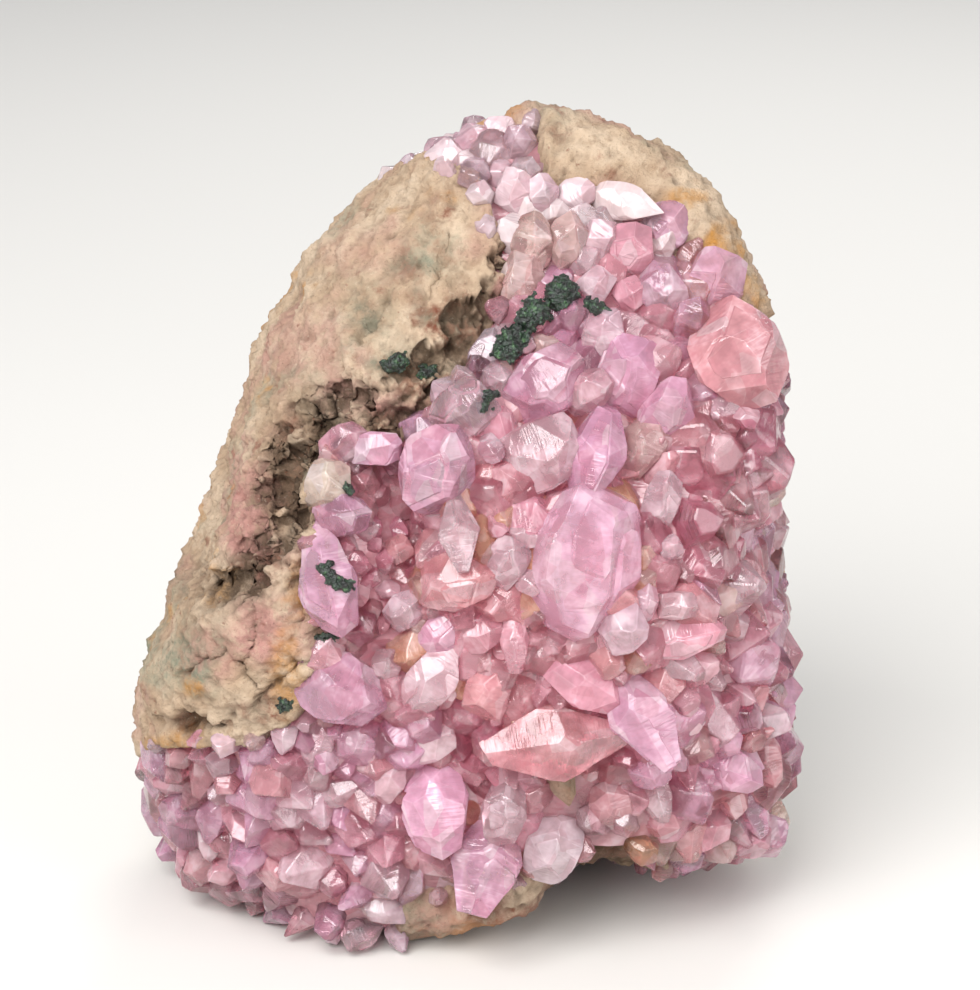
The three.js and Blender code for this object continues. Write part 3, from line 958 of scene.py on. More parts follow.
        broad = fractal(outer, 8.0, 3, 0.4)
        lumps = fractal(points, 2.4, 4, 2.2)
        grit = fractal(points, 0.9, 3, 8.3)
        fine = fractal(points, 0.42, 2, 12.3)
        pits = smoothstep(0.34, 0.1, cells(points, 1.5, 3.0)) * smoothstep(-0.15, 0.3, lumps)
        lumped = blocks(points + 0.4 * lumps[:, None], 1.5, 4.4)
        crumbs = blocks(points + 0.2 * grit[:, None], 0.7, 7.7)
        beds = [
            points @ np.array(self.along_beds) / 4.0,
            points @ np.array(self.across_beds),
            0.4 * lumps + points[:, 1] / 3,
        ]
        layers = fractal(np.stack(beds, 1), 1.0, 4, 4.0)
        # The relief in millimetres: what weather leaves, and then what the breaks lay bare.
        relief = (
            0.55 * broad
            + 0.45 * fractal(outer, 4.6, 3, 9.9)
            + np.where(front, 0.25, 0.9) * (ridged(outer, 7.0, 4, 6.1) - 0.5)
            + 0.38 * lumps
            + 0.22 * grit
            + 0.11 * fine
            - 0.4 * pits
            + (0.05 + 0.14 * crumbly) * crumbs
            + crumbly * (0.3 * layers + 0.32 * lumped + 0.15 * grit)
        )
        shift = (relief * (0.3 + 0.7 * bare) * foot)[:, None]
        points = points + normals_of(mesh) * shift
        points[:, 2] = np.maximum(points[:, 2], 0)
        move_points(mesh, points)

        broken_low = layers + 0.45 * lumped + 0.3 * crumbs
        # Painted shade: darker in the crevice, cracks and cavity, in the low parts of the broken edge,
        # under the druse's overhang and at its foot, in pits and in the low parts of the relief.
        painted_shade = 0.85 * smoothstep(0.4, 1.7, deep * bare)
        painted_shade += 0.8 * crumbly * smoothstep(0.0, -0.6, broken_low)
        shade_under_druse = np.where(front, self.under_druse.share(wavy), 0)
        painted_shade += 0.95 * smoothstep(0.8, 2.4, base * bare) + shade_under_druse
        painted_shade += 0.6 * pits + 0.3 * smoothstep(-0.2, -0.8, lumps + grit + 0.6 * fine)
        broken = crumbly * smoothstep(0.3, 0.9, broken_low)
        ragged = fractal(outer, 1.6, 4, 21.0)
        drift = fractal(outer, 9.0, 3, 31.0)
        brown = self.laid(self.brown, places, ragged, front)
        green = self.laid(self.green, places, ragged, front)
        green += 0.55 * smoothstep(0.22, 0.6, drift) * bare
        ochre = self.laid(self.ochre, places, ragged, front)
        ochre += 0.5 * smoothstep(0.45, 0.7, fractal(outer, 7.0, 4, 47.0)) * bare
        rose = self.laid(self.rose, places, ragged, front)
        rose += 0.6 * smoothstep(0.15, 0.6, fractal(outer, 10.0, 3, 61.0)) * bare
        rust = 0.6 * brown + 0.6 * smoothstep(0.5, 0.72, fractal(outer, 2.2, 4, 71.0))
        # More painted shade over the ragged parts of the brown stains.
        painted_shade += 0.5 * brown * smoothstep(0.3, -0.4, ragged)
        self.note(mesh, "painted_shade", painted_shade, broken, rust)
        self.note(mesh, "stains", green, ochre, rose)
        crusted = smoothstep(0.75, 1.0, sunk)
        self.note(mesh, "buried", crusted, crusted, crusted)

    @staticmethod
    def laid(
        stains: Iterable[Stain], places: np.ndarray, ragged: np.ndarray, front: np.ndarray
    ) -> np.ndarray:
        """The share that a list of patches takes of each place."""
        share = sum(stain.share(places, ragged) for stain in stains)
        return np.where(front, np.clip(share, 0, 1), 0)

    @staticmethod
    def note(
        mesh: bpy.types.Mesh, name: str, red: np.ndarray, green: np.ndarray, blue: np.ndarray
    ) -> None:
        """Keep three values from 0 to 1 at each vertex under one name.

        Args:
            mesh: The mesh that keeps them.
            name: The name that the material reads.
            red: The first value at each vertex.
            green: The second.
            blue: The third.
        """
        values = np.clip(np.stack([red, green, blue, np.ones(len(red))], axis=1), 0, 1)
        attribute = mesh.attributes.new(name, "FLOAT_COLOR", "POINT")
        attribute.data.foreach_set("color", values.astype(np.float32).ravel())


# ---- The druse ----


@dataclass(frozen=True)
class Form:
    """The faces of a crystal habit.

    Each ring of faces is a rise (the upward part of its normals) and a spread. A spread of 0
    gives three faces an end; any other gives three pairs, that far either way from their
    middles, in degrees. fullness runs from 1, boxy, through 2, an ellipsoid, to pointed.
    """

    fullness: float
    rings: tuple[tuple[float, float], ...]
    wobble: float = 5.0


class Habit(Enum):
    """How the crystals are shaped."""

    DOGTOOTH = Form(4.0, ((0.3, 24.0),))
    LEAF = Form(2.6, ((0.2, 25.0), (0.5, 22.0)))
    BARREL = Form(2.4, ((0.22, 27), (0.68, 0)), 6)
    RHOMB = Form(1.6, ((0.6, 0.0), (0.1, 28.0)), 9.0)
    KING = Form(2.0, ((0.05, 30.0), (0.5, 24.0), (0.86, 6.0)), 3.0)


class Tint(Enum):
    """The body colours of the crystals."""

    ORCHID = "#FFD0EA"
    PINK = "#FFC4E0"
    ROSE = "#F3B2C1"
    LILAC = "#EEB8D3"
    DUSTY = "#E6A7B0"
    PALE = "#F7D6DF"
    BEIGE = "#F0D0C8"
    PEACH = "#F6B2B6"
    DEEP = "#DE8FA2"
    CREAM = "#F4E4D0"
    CLEAR = "#F6DAE4"
    FROST = "#F9E3E6"
    AMBER = "#E6B08C"


@dataclass(frozen=True)
class Crystal:
    """One crystal: its sizes, where it grew on the face plane and how it lies.

    points is the way its long axis runs on the face plane, tips how far that leans to the
    front and turn the turn about it, in degrees. stands is how far its middle is off the bed.
    """

    at: tuple[float, float]
    length: float
    width: float
    points: float
    tips: float
    turn: float = 0.0
    habit: Habit = Habit.BARREL
    tint: Tint = Tint.ROSE
    stands: float = 0.4

    def axis(self) -> Vector:
        """The way its long axis runs.

        Returns:
            That way, of unit length.
        """
        points, tips = math.radians(self.points), math.radians(self.tips)
        flat = math.cos(points) * FACE.across + math.sin(points) * FACE.up
        return (math.cos(tips) * flat + math.sin(tips) * FACE.out).normalized()


DOGTOOTH, LEAF, BARREL, RHOMB, KING = Habit

LARGE_CRYSTALS = (
    # The tallest crystal and those round it, in the middle of the face.
    Crystal((8.7, -3.5), 11.8, 8.4, 84, 8, 30, KING, Tint.ORCHID, 2.6),
    Crystal((9.4, 4.9), 7.2, 4.6, -105, 12, 40, DOGTOOTH, Tint.LILAC, 1.9),
    Crystal((5.2, 4.9), 6.4, 5.6, 25, 25, 0, RHOMB, Tint.CLEAR, 1.4),
    Crystal((5.6, 10.2), 7.0, 5.2, 35, 20, 10, BARREL, Tint.LILAC, 1.2),
    Crystal((8.8, 9.6), 4.6, 3.4, 20, 25, 30, BARREL, Tint.PALE, 1.5),
    Crystal((11.7, 10.8), 6.4, 5.0, 70, 30, 0, RHOMB, Tint.LILAC, 1.0),
    Crystal((13.7, 11.9), 4.8, 4.0, 40, 30, 15, BARREL, Tint.ROSE, 0.9),
    Crystal((14.8, 8.2), 5.6, 3.8, 55, 20, 30, BARREL, Tint.LILAC, 1.2),
    Crystal((13.0, 5.7), 5.6, 3.6, 60, 10, 0, BARREL, Tint.BEIGE, 0.5),
    Crystal((9.9, 13.6), 5.2, 3.3, 85, 30, 0, BARREL, Tint.PALE, 1.3),
    Crystal((14.4, 1.5), 4.6, 2.8, 70, 20, 0, RHOMB, Tint.CLEAR, 0.6),
    Crystal((14.9, -2.2), 2.2, 1.8, 30, 30, 0, RHOMB, Tint.CLEAR, 0.7),
    Crystal((11.3, -8.3), 4.0, 3.6, 20, 40, 10, RHOMB, Tint.CLEAR, 1.8),
    Crystal((13.0, -6.3), 3.2, 2.2, 75, 20, 10, BARREL, Tint.CLEAR, 0.9),
    Crystal((15.4, -6.5), 3.4, 2.2, 0, 25, 0, RHOMB, Tint.PALE, 1.0),
    Crystal((15.8, -8.9), 7.0, 3.4, 12, 10, 0, BARREL, Tint.ROSE, 0.7),
    Crystal((16.6, -11.3), 4.6, 3.0, 20, 30, 0, BARREL, Tint.ROSE, 0.4),
    # The upper right.
    Crystal((19.9, 12.4), 9.4, 7.4, -50, 18, 0, BARREL, Tint.PEACH, 1.0),
    Crystal((12.2, 20.4), 4.8, 3.6, 80, 35, 0, BARREL, Tint.ROSE, 0.6),
    Crystal((14.7, 22.0), 4.6, 3.8, 50, 30, 0, BARREL, Tint.LILAC, 0.6),
    Crystal((18.3, 18.0), 5.4, 4.8, 60, 40, 15, RHOMB, Tint.PINK, 0.6),
    Crystal((14.4, 17.2), 3.8, 3.6, 30, 50, 15, RHOMB, Tint.LILAC, 0.9),
    Crystal((16.6, 15.2), 4.2, 3.6, 70, 30, 35, BARREL, Tint.LILAC, 0.4),
    Crystal((12.0, 17.0), 3.2, 2.8, 30, 40, 0, BARREL, Tint.ROSE, 0.4),
    Crystal((11.4, 24.1), 6.4, 3.0, -18, 20, 0, LEAF, Tint.FROST, 1.2),
    Crystal((7.8, 24.4), 3.8, 2.8, 30, 30, 0, BARREL, Tint.FROST, 0.9),
    Crystal((3.2, 24.8), 3.6, 2.6, 70, 30, 0, RHOMB, Tint.FROST, 0.8),
    Crystal((5.4, 24.6), 3.4, 2.6, 100, 30, 20, BARREL, Tint.PALE, 0.7),
    Crystal((4.7, 20.9), 5.0, 3.4, 88, 28, 0, BARREL, Tint.BEIGE, 0.7),
    Crystal((7.4, 21.0), 4.8, 3.2, 93, 30, 30, BARREL, Tint.BEIGE, 0.8),
    Crystal((9.6, 20.8), 4.0, 3.2, 60, 30, 30, RHOMB, Tint.PALE, 0.5),
    Crystal((3.9, 18.1), 5.6, 3.4, 80, 10, 30, BARREL, Tint.BEIGE, 0.1),
    Crystal((9.4, 17.6), 3.0, 2.6, 50, 30, 0, RHOMB, Tint.CLEAR, 0.5),
    # The middle left, beside the hollow.
    Crystal((-0.6, 8.1), 4.8, 4.2, 40, 25, 0, RHOMB, Tint.PALE, 1.4),
    Crystal((-3.6, 6.6), 4.0, 3.4, 10, 25, 10, BARREL, Tint.LILAC, 0.6),
    Crystal((-2.4, 3.9), 6.6, 5.8, 80, 25, 20, RHOMB, Tint.LILAC, 1.6),
    Crystal((1.5, 5.4), 2.6, 2.0, -60, 25, 0, BARREL, Tint.CLEAR, 1.2),
    Crystal((2.7, 2.6), 4.6, 3.8, 20, 30, 20, RHOMB, Tint.DUSTY, 0.0),
    Crystal((1.3, 12.4), 4.4, 3.0, 70, 15, 0, BARREL, Tint.CLEAR, 0.2),
    Crystal((3.2, 8.4), 3.4, 2.6, 40, 25, 0, BARREL, Tint.DUSTY, 0.3),
    Crystal((-0.9, -1.0), 5.8, 3.2, -82, 18, 0, DOGTOOTH, Tint.PALE, 1.8),
    Crystal((-1.2, -4.6), 6.6, 4.6, 8, 20, 0, BARREL, Tint.PEACH, 1.0),
    Crystal((2.6, -3.2), 3.8, 3.2, 55, 35, 0, RHOMB, Tint.CLEAR, 1.2),
    Crystal((4.3, -4.6), 2.8, 2.2, -40, 35, 0, BARREL, Tint.PALE, 0.9),
    Crystal((3.9, -1.2), 3.2, 2.2, -15, 15, 0, DOGTOOTH, Tint.PALE, 0.6),
    Crystal((-5.0, -6.8), 3.4, 3.0, 40, 30, 0, BARREL, Tint.CLEAR, 1.2),
    Crystal((-2.3, -8.6), 5.2, 3.0, 42, 10, 0, BARREL, Tint.LILAC, 0.4),
    Crystal((-5.6, -2.3), 2.6, 2.2, 30, 40, 0, RHOMB, Tint.PEACH, 0.4),
    # The left rim.
    Crystal((-7.2, 5.4), 4.4, 2.8, 10, 20, 0, BARREL, Tint.LILAC, 2.2),
    Crystal((-9.6, 5.9), 4.0, 3.0, 30, 10, 0, BARREL, Tint.ROSE, 0.9),
    Crystal((-10.9, 2.5), 4.0, 3.6, 80, 15, 0, RHOMB, Tint.CREAM, 1.3),
    Crystal((-9.7, 0.3), 4.6, 3.6, 10, 15, 0, BARREL, Tint.LILAC, 1.2),
    Crystal((-10.8, -4.6), 8.6, 4.6, -78, 3, 0, BARREL, Tint.LILAC, 1.3),
    Crystal((-9.9, -12.5), 7.6, 5.8, -22, 12, 0, BARREL, Tint.LILAC, 1.0),
    Crystal((-11.3, -10.2), 4.2, 3.2, 60, 10, 0, BARREL, Tint.ROSE, 0.7),
    Crystal((-6.4, -11.0), 3.0, 2.4, 70, 30, 0, RHOMB, Tint.PALE, 0.9),
    # Below the middle.
    Crystal((-3.0, -12.1), 7.2, 3.6, 56, 8, 0, LEAF, Tint.PALE, 1.5),
    Crystal((-3.2, -16.6), 4.2, 3.4, 20, 30, 0, RHOMB, Tint.PALE, 0.8),
    Crystal((3.2, -9.0), 5.2, 2.1, -88, 6, 0, BARREL, Tint.ROSE, 1.2),
    Crystal((1.1, -12.9), 4.2, 3.8, 70, 25, 0, RHOMB, Tint.PEACH, 0.8),
    Crystal((0.6, -8.6), 4.0, 3.0, 20, 25, 0, BARREL, Tint.ROSE, 0.5),
    Crystal((8.6, -12.2), 7.0, 4.4, -32, 8, 0, BARREL, Tint.ROSE, 0.6),
    Crystal((6.6, -16.6), 11.6, 6.0, 188, 6, 0, DOGTOOTH, Tint.PEACH, 1.9),
    Crystal((12.4, -14.2), 10.8, 4.8, -60, 10, 0, DOGTOOTH, Tint.LILAC, 1.7),
    Crystal((13.3, -18.4), 4.0, 3.4, -70, 20, 0, BARREL, Tint.LILAC, 1.2),
    Crystal((16.2, -15.4), 5.6, 1.9, 80, 12, 0, BARREL, Tint.CLEAR, 1.4),
    Crystal((19.2, -18.7), 6.2, 3.6, -25, 12, 0, BARREL, Tint.PINK, 1.1),
    Crystal((18.6, -14.6), 4.4, 3.0, 40, 20, 0, BARREL, Tint.ROSE, 0.5),
    Crystal((22.0, -17.8), 5.4, 3.0, -72, 5, 0, BARREL, Tint.PEACH, 0.4),
    Crystal((20.6, -11.6), 4.6, 3.4, 30, 20, 0, BARREL, Tint.DUSTY, 0.3),
    Crystal((22.4, -13.2), 4.2, 3.2, -50, 10, 0, BARREL, Tint.ROSE, 0.3),
    Crystal((23.2, -22.6), 4.4, 3.4, -60, 10, 0, RHOMB, Tint.CREAM, 0.4),
    Crystal((17.6, -23.3), 4.6, 3.8, 10, 25, 0, BARREL, Tint.ROSE, 0.6),
    Crystal((20.7, -23.9), 4.4, 3.6, -20, 25, 0, BARREL, Tint.ROSE, 0.5),
    Crystal((14.6, -22.6), 3.6, 3.0, 50, 25, 0, BARREL, Tint.DUSTY, 0.3),
    Crystal((22.0, 2.1), 4.0, 3.2, 0, 10, 0, RHOMB, Tint.CREAM, 0.6),
    Crystal((-2.7, -21.4), 8.4, 5.4, -84, 10, 0, BARREL, Tint.PINK, 1.4),
    Crystal((1.0, -25.6), 8.4, 5.8, -105, 12, 0, DOGTOOTH, Tint.LILAC, 1.2),
    Crystal((6.1, -24.8), 5.4, 4.4, 75, 20, 0, RHOMB, Tint.CLEAR, 1.0),
    Crystal((2.4, -22.0), 5.4, 3.6, 80, 18, 0, BARREL, Tint.CLEAR, 1.6),
    Crystal((4.4, -20.8), 4.0, 3.2, 30, 20, 0, BARREL, Tint.DUSTY, 0.1),
    Crystal((10.4, -21.4), 4.4, 3.4, 100, 20, 0, BARREL, Tint.DUSTY, 0.2),
    Crystal((-6.4, -19.8), 3.4, 2.8, 60, 30, 0, RHOMB, Tint.PALE, 0.7),
    Crystal((-11.6, -16.9), 4.0, 2.6, 75, 15, 0, BARREL, Tint.PALE, 0.8),
    Crystal((-8.6, -16.8), 3.8, 3.2, 75, 15, 0, BARREL, Tint.LILAC, 0.6),
    Crystal((-15.6, -17.6), 2.8, 2.2, 60, 25, 0, RHOMB, Tint.LILAC, 0.5),
    Crystal((-18.8, -18.2), 2.8, 2.4, 30, 30, 0, RHOMB, Tint.PALE, 0.5),
)


@dataclass(frozen=True)
class Growth:
    """How small crystals grow: how far apart, how long and slim, how far they lean from square
    to the bed, how far their middles stand off it, and their tints."""

    spacing: float
    length: tuple[float, float]
    slimness: tuple[float, float]
    lean: float
    stands: float
    tints: tuple[Tint, ...]


class Zone(Enum):
    """The parts of the druse, each with its own growth of small crystals."""

    MIDDLE = Growth(
        1.9, (3.6, 6.0), (0.5, 0.85), 1.0, -0.7,
        (Tint.ROSE, Tint.DUSTY, Tint.DEEP, Tint.DUSTY, Tint.PEACH, Tint.AMBER),
    )
    UPPER = Growth(
        1.9, (3.6, 5.6), (0.6, 0.9), 0.8, -0.2,
        (Tint.LILAC, Tint.PALE, Tint.BEIGE, Tint.ROSE),
    )
    RIGHT = Growth(
        2.2, (5.0, 8.0), (0.55, 0.9), 0.9, -1.5,
        (Tint.DUSTY, Tint.DEEP, Tint.DEEP, Tint.ROSE, Tint.DUSTY),
    )
    LOW_RIGHT = Growth(
        2.0, (4.6, 7.4), (0.45, 0.75), 1.0, -0.6,
        (Tint.ROSE, Tint.PINK, Tint.PALE, Tint.PEACH, Tint.BEIGE),
    )
    LOW_LEFT = Growth(
        1.6, (3.8, 6.2), (0.45, 0.75), 1.0, -0.4,
        (Tint.ROSE, Tint.LILAC, Tint.PALE, Tint.LILAC, Tint.DUSTY),
    )
    HOLLOW = Growth(
        1.5, (2.2, 3.8), (0.6, 0.9), 0.8, -0.5,
        (Tint.DEEP, Tint.DEEP, Tint.DUSTY),
    )
    CREST = Growth(
        1.4, (2.8, 4.6), (0.6, 0.9), 0.9, -0.3,
        (Tint.FROST, Tint.CLEAR, Tint.PALE),
    )
    TOP = Growth(
        1.4, (2.4, 4.2), (0.6, 0.9), 0.9, 0.3,
        (Tint.FROST, Tint.PALE, Tint.BEIGE, Tint.CLEAR),
    )
    SIDE = Growth(
        1.9, (4.0, 6.4), (0.6, 0.9), 0.9, -0.7,
        (Tint.ROSE, Tint.DUSTY, Tint.LILAC),
    )

    @staticmethod
    def at(point: Vector, place: np.ndarray) -> "Zone":
        """The part of the druse that a point of the bed is in.

        Args:
            point: The point of the bed.
            place: Where it lies on the face plane.

        Returns:
            That part.
        """
        across, up = place
        if point.z > 52 or point.y > 6:
            return Zone.CREST
        if point.y > -7:
            return Zone.SIDE
        if ((across + 6.6) / 3.2) ** 2 + ((up - 0.5) / 7.5) ** 2 < 1.3:
            return Zone.HOLLOW
        if up < -15 and across < -3.5:
            return Zone.LOW_LEFT
        if across > 13.5 and up < -5:
            return Zone.LOW_RIGHT
        if across > 15 and up < 9:
            return Zone.RIGHT
        if up > 20:
            return Zone.TOP
        return Zone.UPPER if up > 9 else Zone.MIDDLE


@dataclass
class CrystalCutter:
    """Cuts crystals to their faces from a six-sided blank, and copies them to their places."""

    blank: tuple[float, float] = (0.62, 1.3)  # radius in widths and height in lengths
    face_spread: tuple[float, float] = (0.9, 1.05)  # how far out each face may lie
    chip_reach: tuple[float, float] = (0.82, 0.97)
    edge: float = 0.06  # the natural rounding of the edges
    large_edge: float = 1.4  # the large crystals' rounding, times that
    riser: float = 0.09  # the steps that growth leaves across the faces
    steps: tuple[float, float] = (1.3, 3.4)  # how many for each millimetre past a length
    step_levels: tuple[float, float] = (0.02, 0.36)  # how far along, in lengths
    step_depths: tuple[float, float] = (0.5, 1.3)  # in risers
    rim_highlight_and_bruise: float = 0.05  # edges painted whiter than the faces: a painted highlight along the rims, and their bruising
    draw: random.Random = field(default_factory=lambda: random.Random(7))
    grown: bpy.types.Collection = field(init=False)
    rims: dict[str, np.ndarray] = field(default_factory=dict)

    def __post_init__(self) -> None:
        """Open the collection that holds the crystals before they are joined."""
        self.grown = bpy.data.collections.new("grown_crystals")
        bpy.context.scene.collection.children.link(self.grown)

    def faces(self, length: float, width: float, form: Form) -> list[tuple[Vector, float]]:
        """Lay out the faces that a crystal is cut to.

        Args:
            length: The crystal's length.
            width: Its width.
            form: Its habit.

        Returns:
            The normal of each face and how far it is from the middle.
        """
        found = []
        for end in (1, -1):
            for rise, spread in form.rings:
                flat = math.sqrt(1 - rise * rise)
                reach = ((width / 2 * flat) ** form.fullness + (length / 2 * rise) ** form.fullness)
                reach **= 1 / form.fullness
                for third in range(3):
                    start = 120 * third + (0 if end > 0 else 60) + (0 if spread else 60)
                    for side in (1, -1) if spread else (0,):
                        around = start + side * spread + self.draw.uniform(-1, 1) * form.wobble
                        around = math.radians(around)
                        normal = Vector((flat * math.cos(around), flat * math.sin(around), end * rise))
                        found.append((normal, reach * self.draw.uniform(*self.face_spread)))
        return found

    def cut(
        self, length: float, width: float, habit: Habit, chips: int, rounds: int
    ) -> bpy.types.Object:
        """Cut one crystal at the origin, its long axis upright, and again if a face is open.

        Args:
            length: Its length.
            width: Its width.
            habit: How it ends.
            chips: How many of its corners are chipped off.
            rounds: Segments of its edges' rounding.

        Returns:
            The crystal.
        """
        while True:
            piece = self.cut_once(length, width, habit, chips, rounds)
            if closed(piece.data):
                return piece
            bpy.data.objects.remove(piece)

    def cut_once(
        self, length: float, width: float, habit: Habit, chips: int, rounds: int
    ) -> bpy.types.Object:
        """Cut one crystal, as cut does, without a look at whether it is closed.

        Args:
            length: Its length.
            width: Its width.
            habit: How it ends.
            chips: How many of its corners are chipped off.
            rounds: Segments of its edges' rounding; with two or more it has growth steps too.

        Returns:
            The crystal.
        """
        deselect()
        bpy.ops.mesh.primitive_cylinder_add(
            vertices=6, radius=self.blank[0] * width * MM, depth=self.blank[1] * length * MM
        )
        piece = bpy.context.object
        bpy.ops.object.mode_set(mode="EDIT")
        for normal, reach in self.faces(length, width, habit.value):
            self.slice(normal, reach)
        bpy.ops.object.mode_set(mode="OBJECT")
        corners = points_of(piece.data)
        bpy.ops.object.mode_set(mode="EDIT")
        for _ in range(chips):
            way = Vector([self.draw.gauss(0, 1) for _ in range(3)]).normalized()
            corner = float((corners @ np.array(way)).max())
            self.slice(way, corner * self.draw.uniform(*self.chip_reach))
        bpy.ops.mesh.select_all(action="SELECT")
        bpy.ops.mesh.remove_doubles(threshold=0.02 * MM)
        bpy.ops.object.mode_set(mode="OBJECT")
        size = np.ptp(points_of(piece.data), axis=0)
        piece.data.transform(
            Matrix.Diagonal((width / size[0], width / size[0], length / size[2], 1))
        )
        per_millimetre, unstepped = self.steps
        for _ in range(int(per_millimetre * (length - unstepped)) if rounds > 1 else 0):
            self.step(piece, length, width)
        work_with(
            piece,
            "BEVEL",
            width=self.edge * (self.large_edge if rounds > 1 else 1.0) * MM,
            segments=rounds,
            limit_method="ANGLE",
            angle_limit=math.radians(12),
        )
        return piece

    def step(self, piece: bpy.types.Object, length: float, width: float) -> None:
        """Let the growth end a little narrower past a slanting line round a crystal.

        Args:
            piece: The crystal.
            length: Its length.
            width: Its width.
        """
        lean = self.draw.gauss(0, 0.25), self.draw.gauss(0, 0.25)
        end = self.draw.choice((1, -1))
        normal = Vector((*lean, end)).normalized()
        level = self.draw.uniform(*self.step_levels) * length
        take_up(piece)
        bpy.ops.object.mode_set(mode="EDIT")
        for reach in (level, level + self.riser):
            bpy.ops.mesh.select_all(action="SELECT")
            bpy.ops.mesh.bisect(plane_co=normal * reach * MM, plane_no=normal)
        bpy.ops.object.mode_set(mode="OBJECT")
        points = points_of(piece.data)
        past = smoothstep(level, level + self.riser, points @ np.array(normal))
        share = self.draw.uniform(*self.step_depths) * self.riser / (width / 2)
        points[:, :2] *= 1 - share * past[:, None]
        move_points(piece.data, points)

    @staticmethod
    def slice(normal: Vector, reach: float) -> None:
        """Cut away what lies past a plane, and close the cut.

        Args:
            normal: The way that the plane faces.
            reach: How far it is from the origin.
        """
        bpy.ops.mesh.select_all(action="SELECT")
        bpy.ops.mesh.bisect(
            plane_co=normal * reach * MM, plane_no=normal, use_fill=True, clear_outer=True
        )

    def plant(
        self,
        pattern: bpy.types.Mesh,
        size: tuple[float, float, float],
        stand: Matrix,
        tint: tuple[float, float, float, float],
    ) -> None:
        """Set a copy of a crystal in its place.

        Args:
            pattern: The crystal at the origin, upright.
            size: How much it is scaled each way.
            stand: Its place, as a matrix in millimetres.
            tint: Its body colour, linear, and how clear it is from 0 to 1.
        """
        mesh = pattern.copy()
        mesh.transform(Matrix.Diagonal((*size, 1)))
        own = points_of(mesh)
        corners = np.empty(len(mesh.loops), int)
        mesh.loops.foreach_get("vertex_index", corners)
        start = np.array([self.draw.uniform(-40, 40) for _ in range(3)])
        grown = mesh.attributes.new("grown", "FLOAT_VECTOR", "CORNER")
        grown.data.foreach_set("vector", (own[corners] + start).astype(np.float32).ravel())
        colour = mesh.attributes.new("tint", "FLOAT_COLOR", "CORNER")
        colours = np.tile(np.array(tint, np.float32), (len(corners), 1))
        if pattern.name not in self.rims:
            self.rims[pattern.name] = self.narrow(pattern)
        rims = self.rims[pattern.name]
        # The rounded edges are painted paler: a painted highlight along the rims, and the whiter
        # bruising of worn edges.
        colours[rims] = colours[rims] * (1 - self.rim_highlight_and_bruise) + self.rim_highlight_and_bruise
        colours[rims, 3] = tint[3] * (1 - self.rim_highlight_and_bruise)
        colour.data.foreach_set("color", colours.ravel())
        place = stand.copy()
        place.translation *= MM
        mesh.transform(place)
        piece = bpy.data.objects.new("crystal", mesh)
        self.grown.objects.link(piece)

    def narrow(self, mesh: bpy.types.Mesh) -> np.ndarray:
        """Which corners of a crystal's mesh belong to its rounded edges.

        Args:
            mesh: The crystal's mesh.

        Returns:
            True for each such corner.
        """
        areas = np.array([face.area for face in mesh.polygons]) / MM**2
        counts = np.array([face.loop_total for face in mesh.polygons])
        points = points_of(mesh)
        around = []
        for face in mesh.polygons:
            ring = points[list(face.vertices)]
            around.append(np.linalg.norm(ring - np.roll(ring, 1, axis=0), axis=1).sum())
        return np.repeat(areas / np.array(around) < 0.6 * self.edge, counts)

    def stand_for(self, point: Vector, axis: Vector, turn: float) -> Matrix:
        """Set an upright crystal at a point.

        Args:
            point: Where its middle goes.
            axis: The way its long axis goes.
            turn: How far its first face is turned from the druse's front, in radians.

        Returns:
            Its place, as a matrix in millimetres.
        """
        front = (FACE.out - axis * axis.dot(FACE.out)).normalized()
        turned = Matrix((front, axis.cross(front), axis)).transposed().to_4x4()
        return Matrix.Translation(point) @ turned @ Matrix.Rotation(turn, 4, "Z")


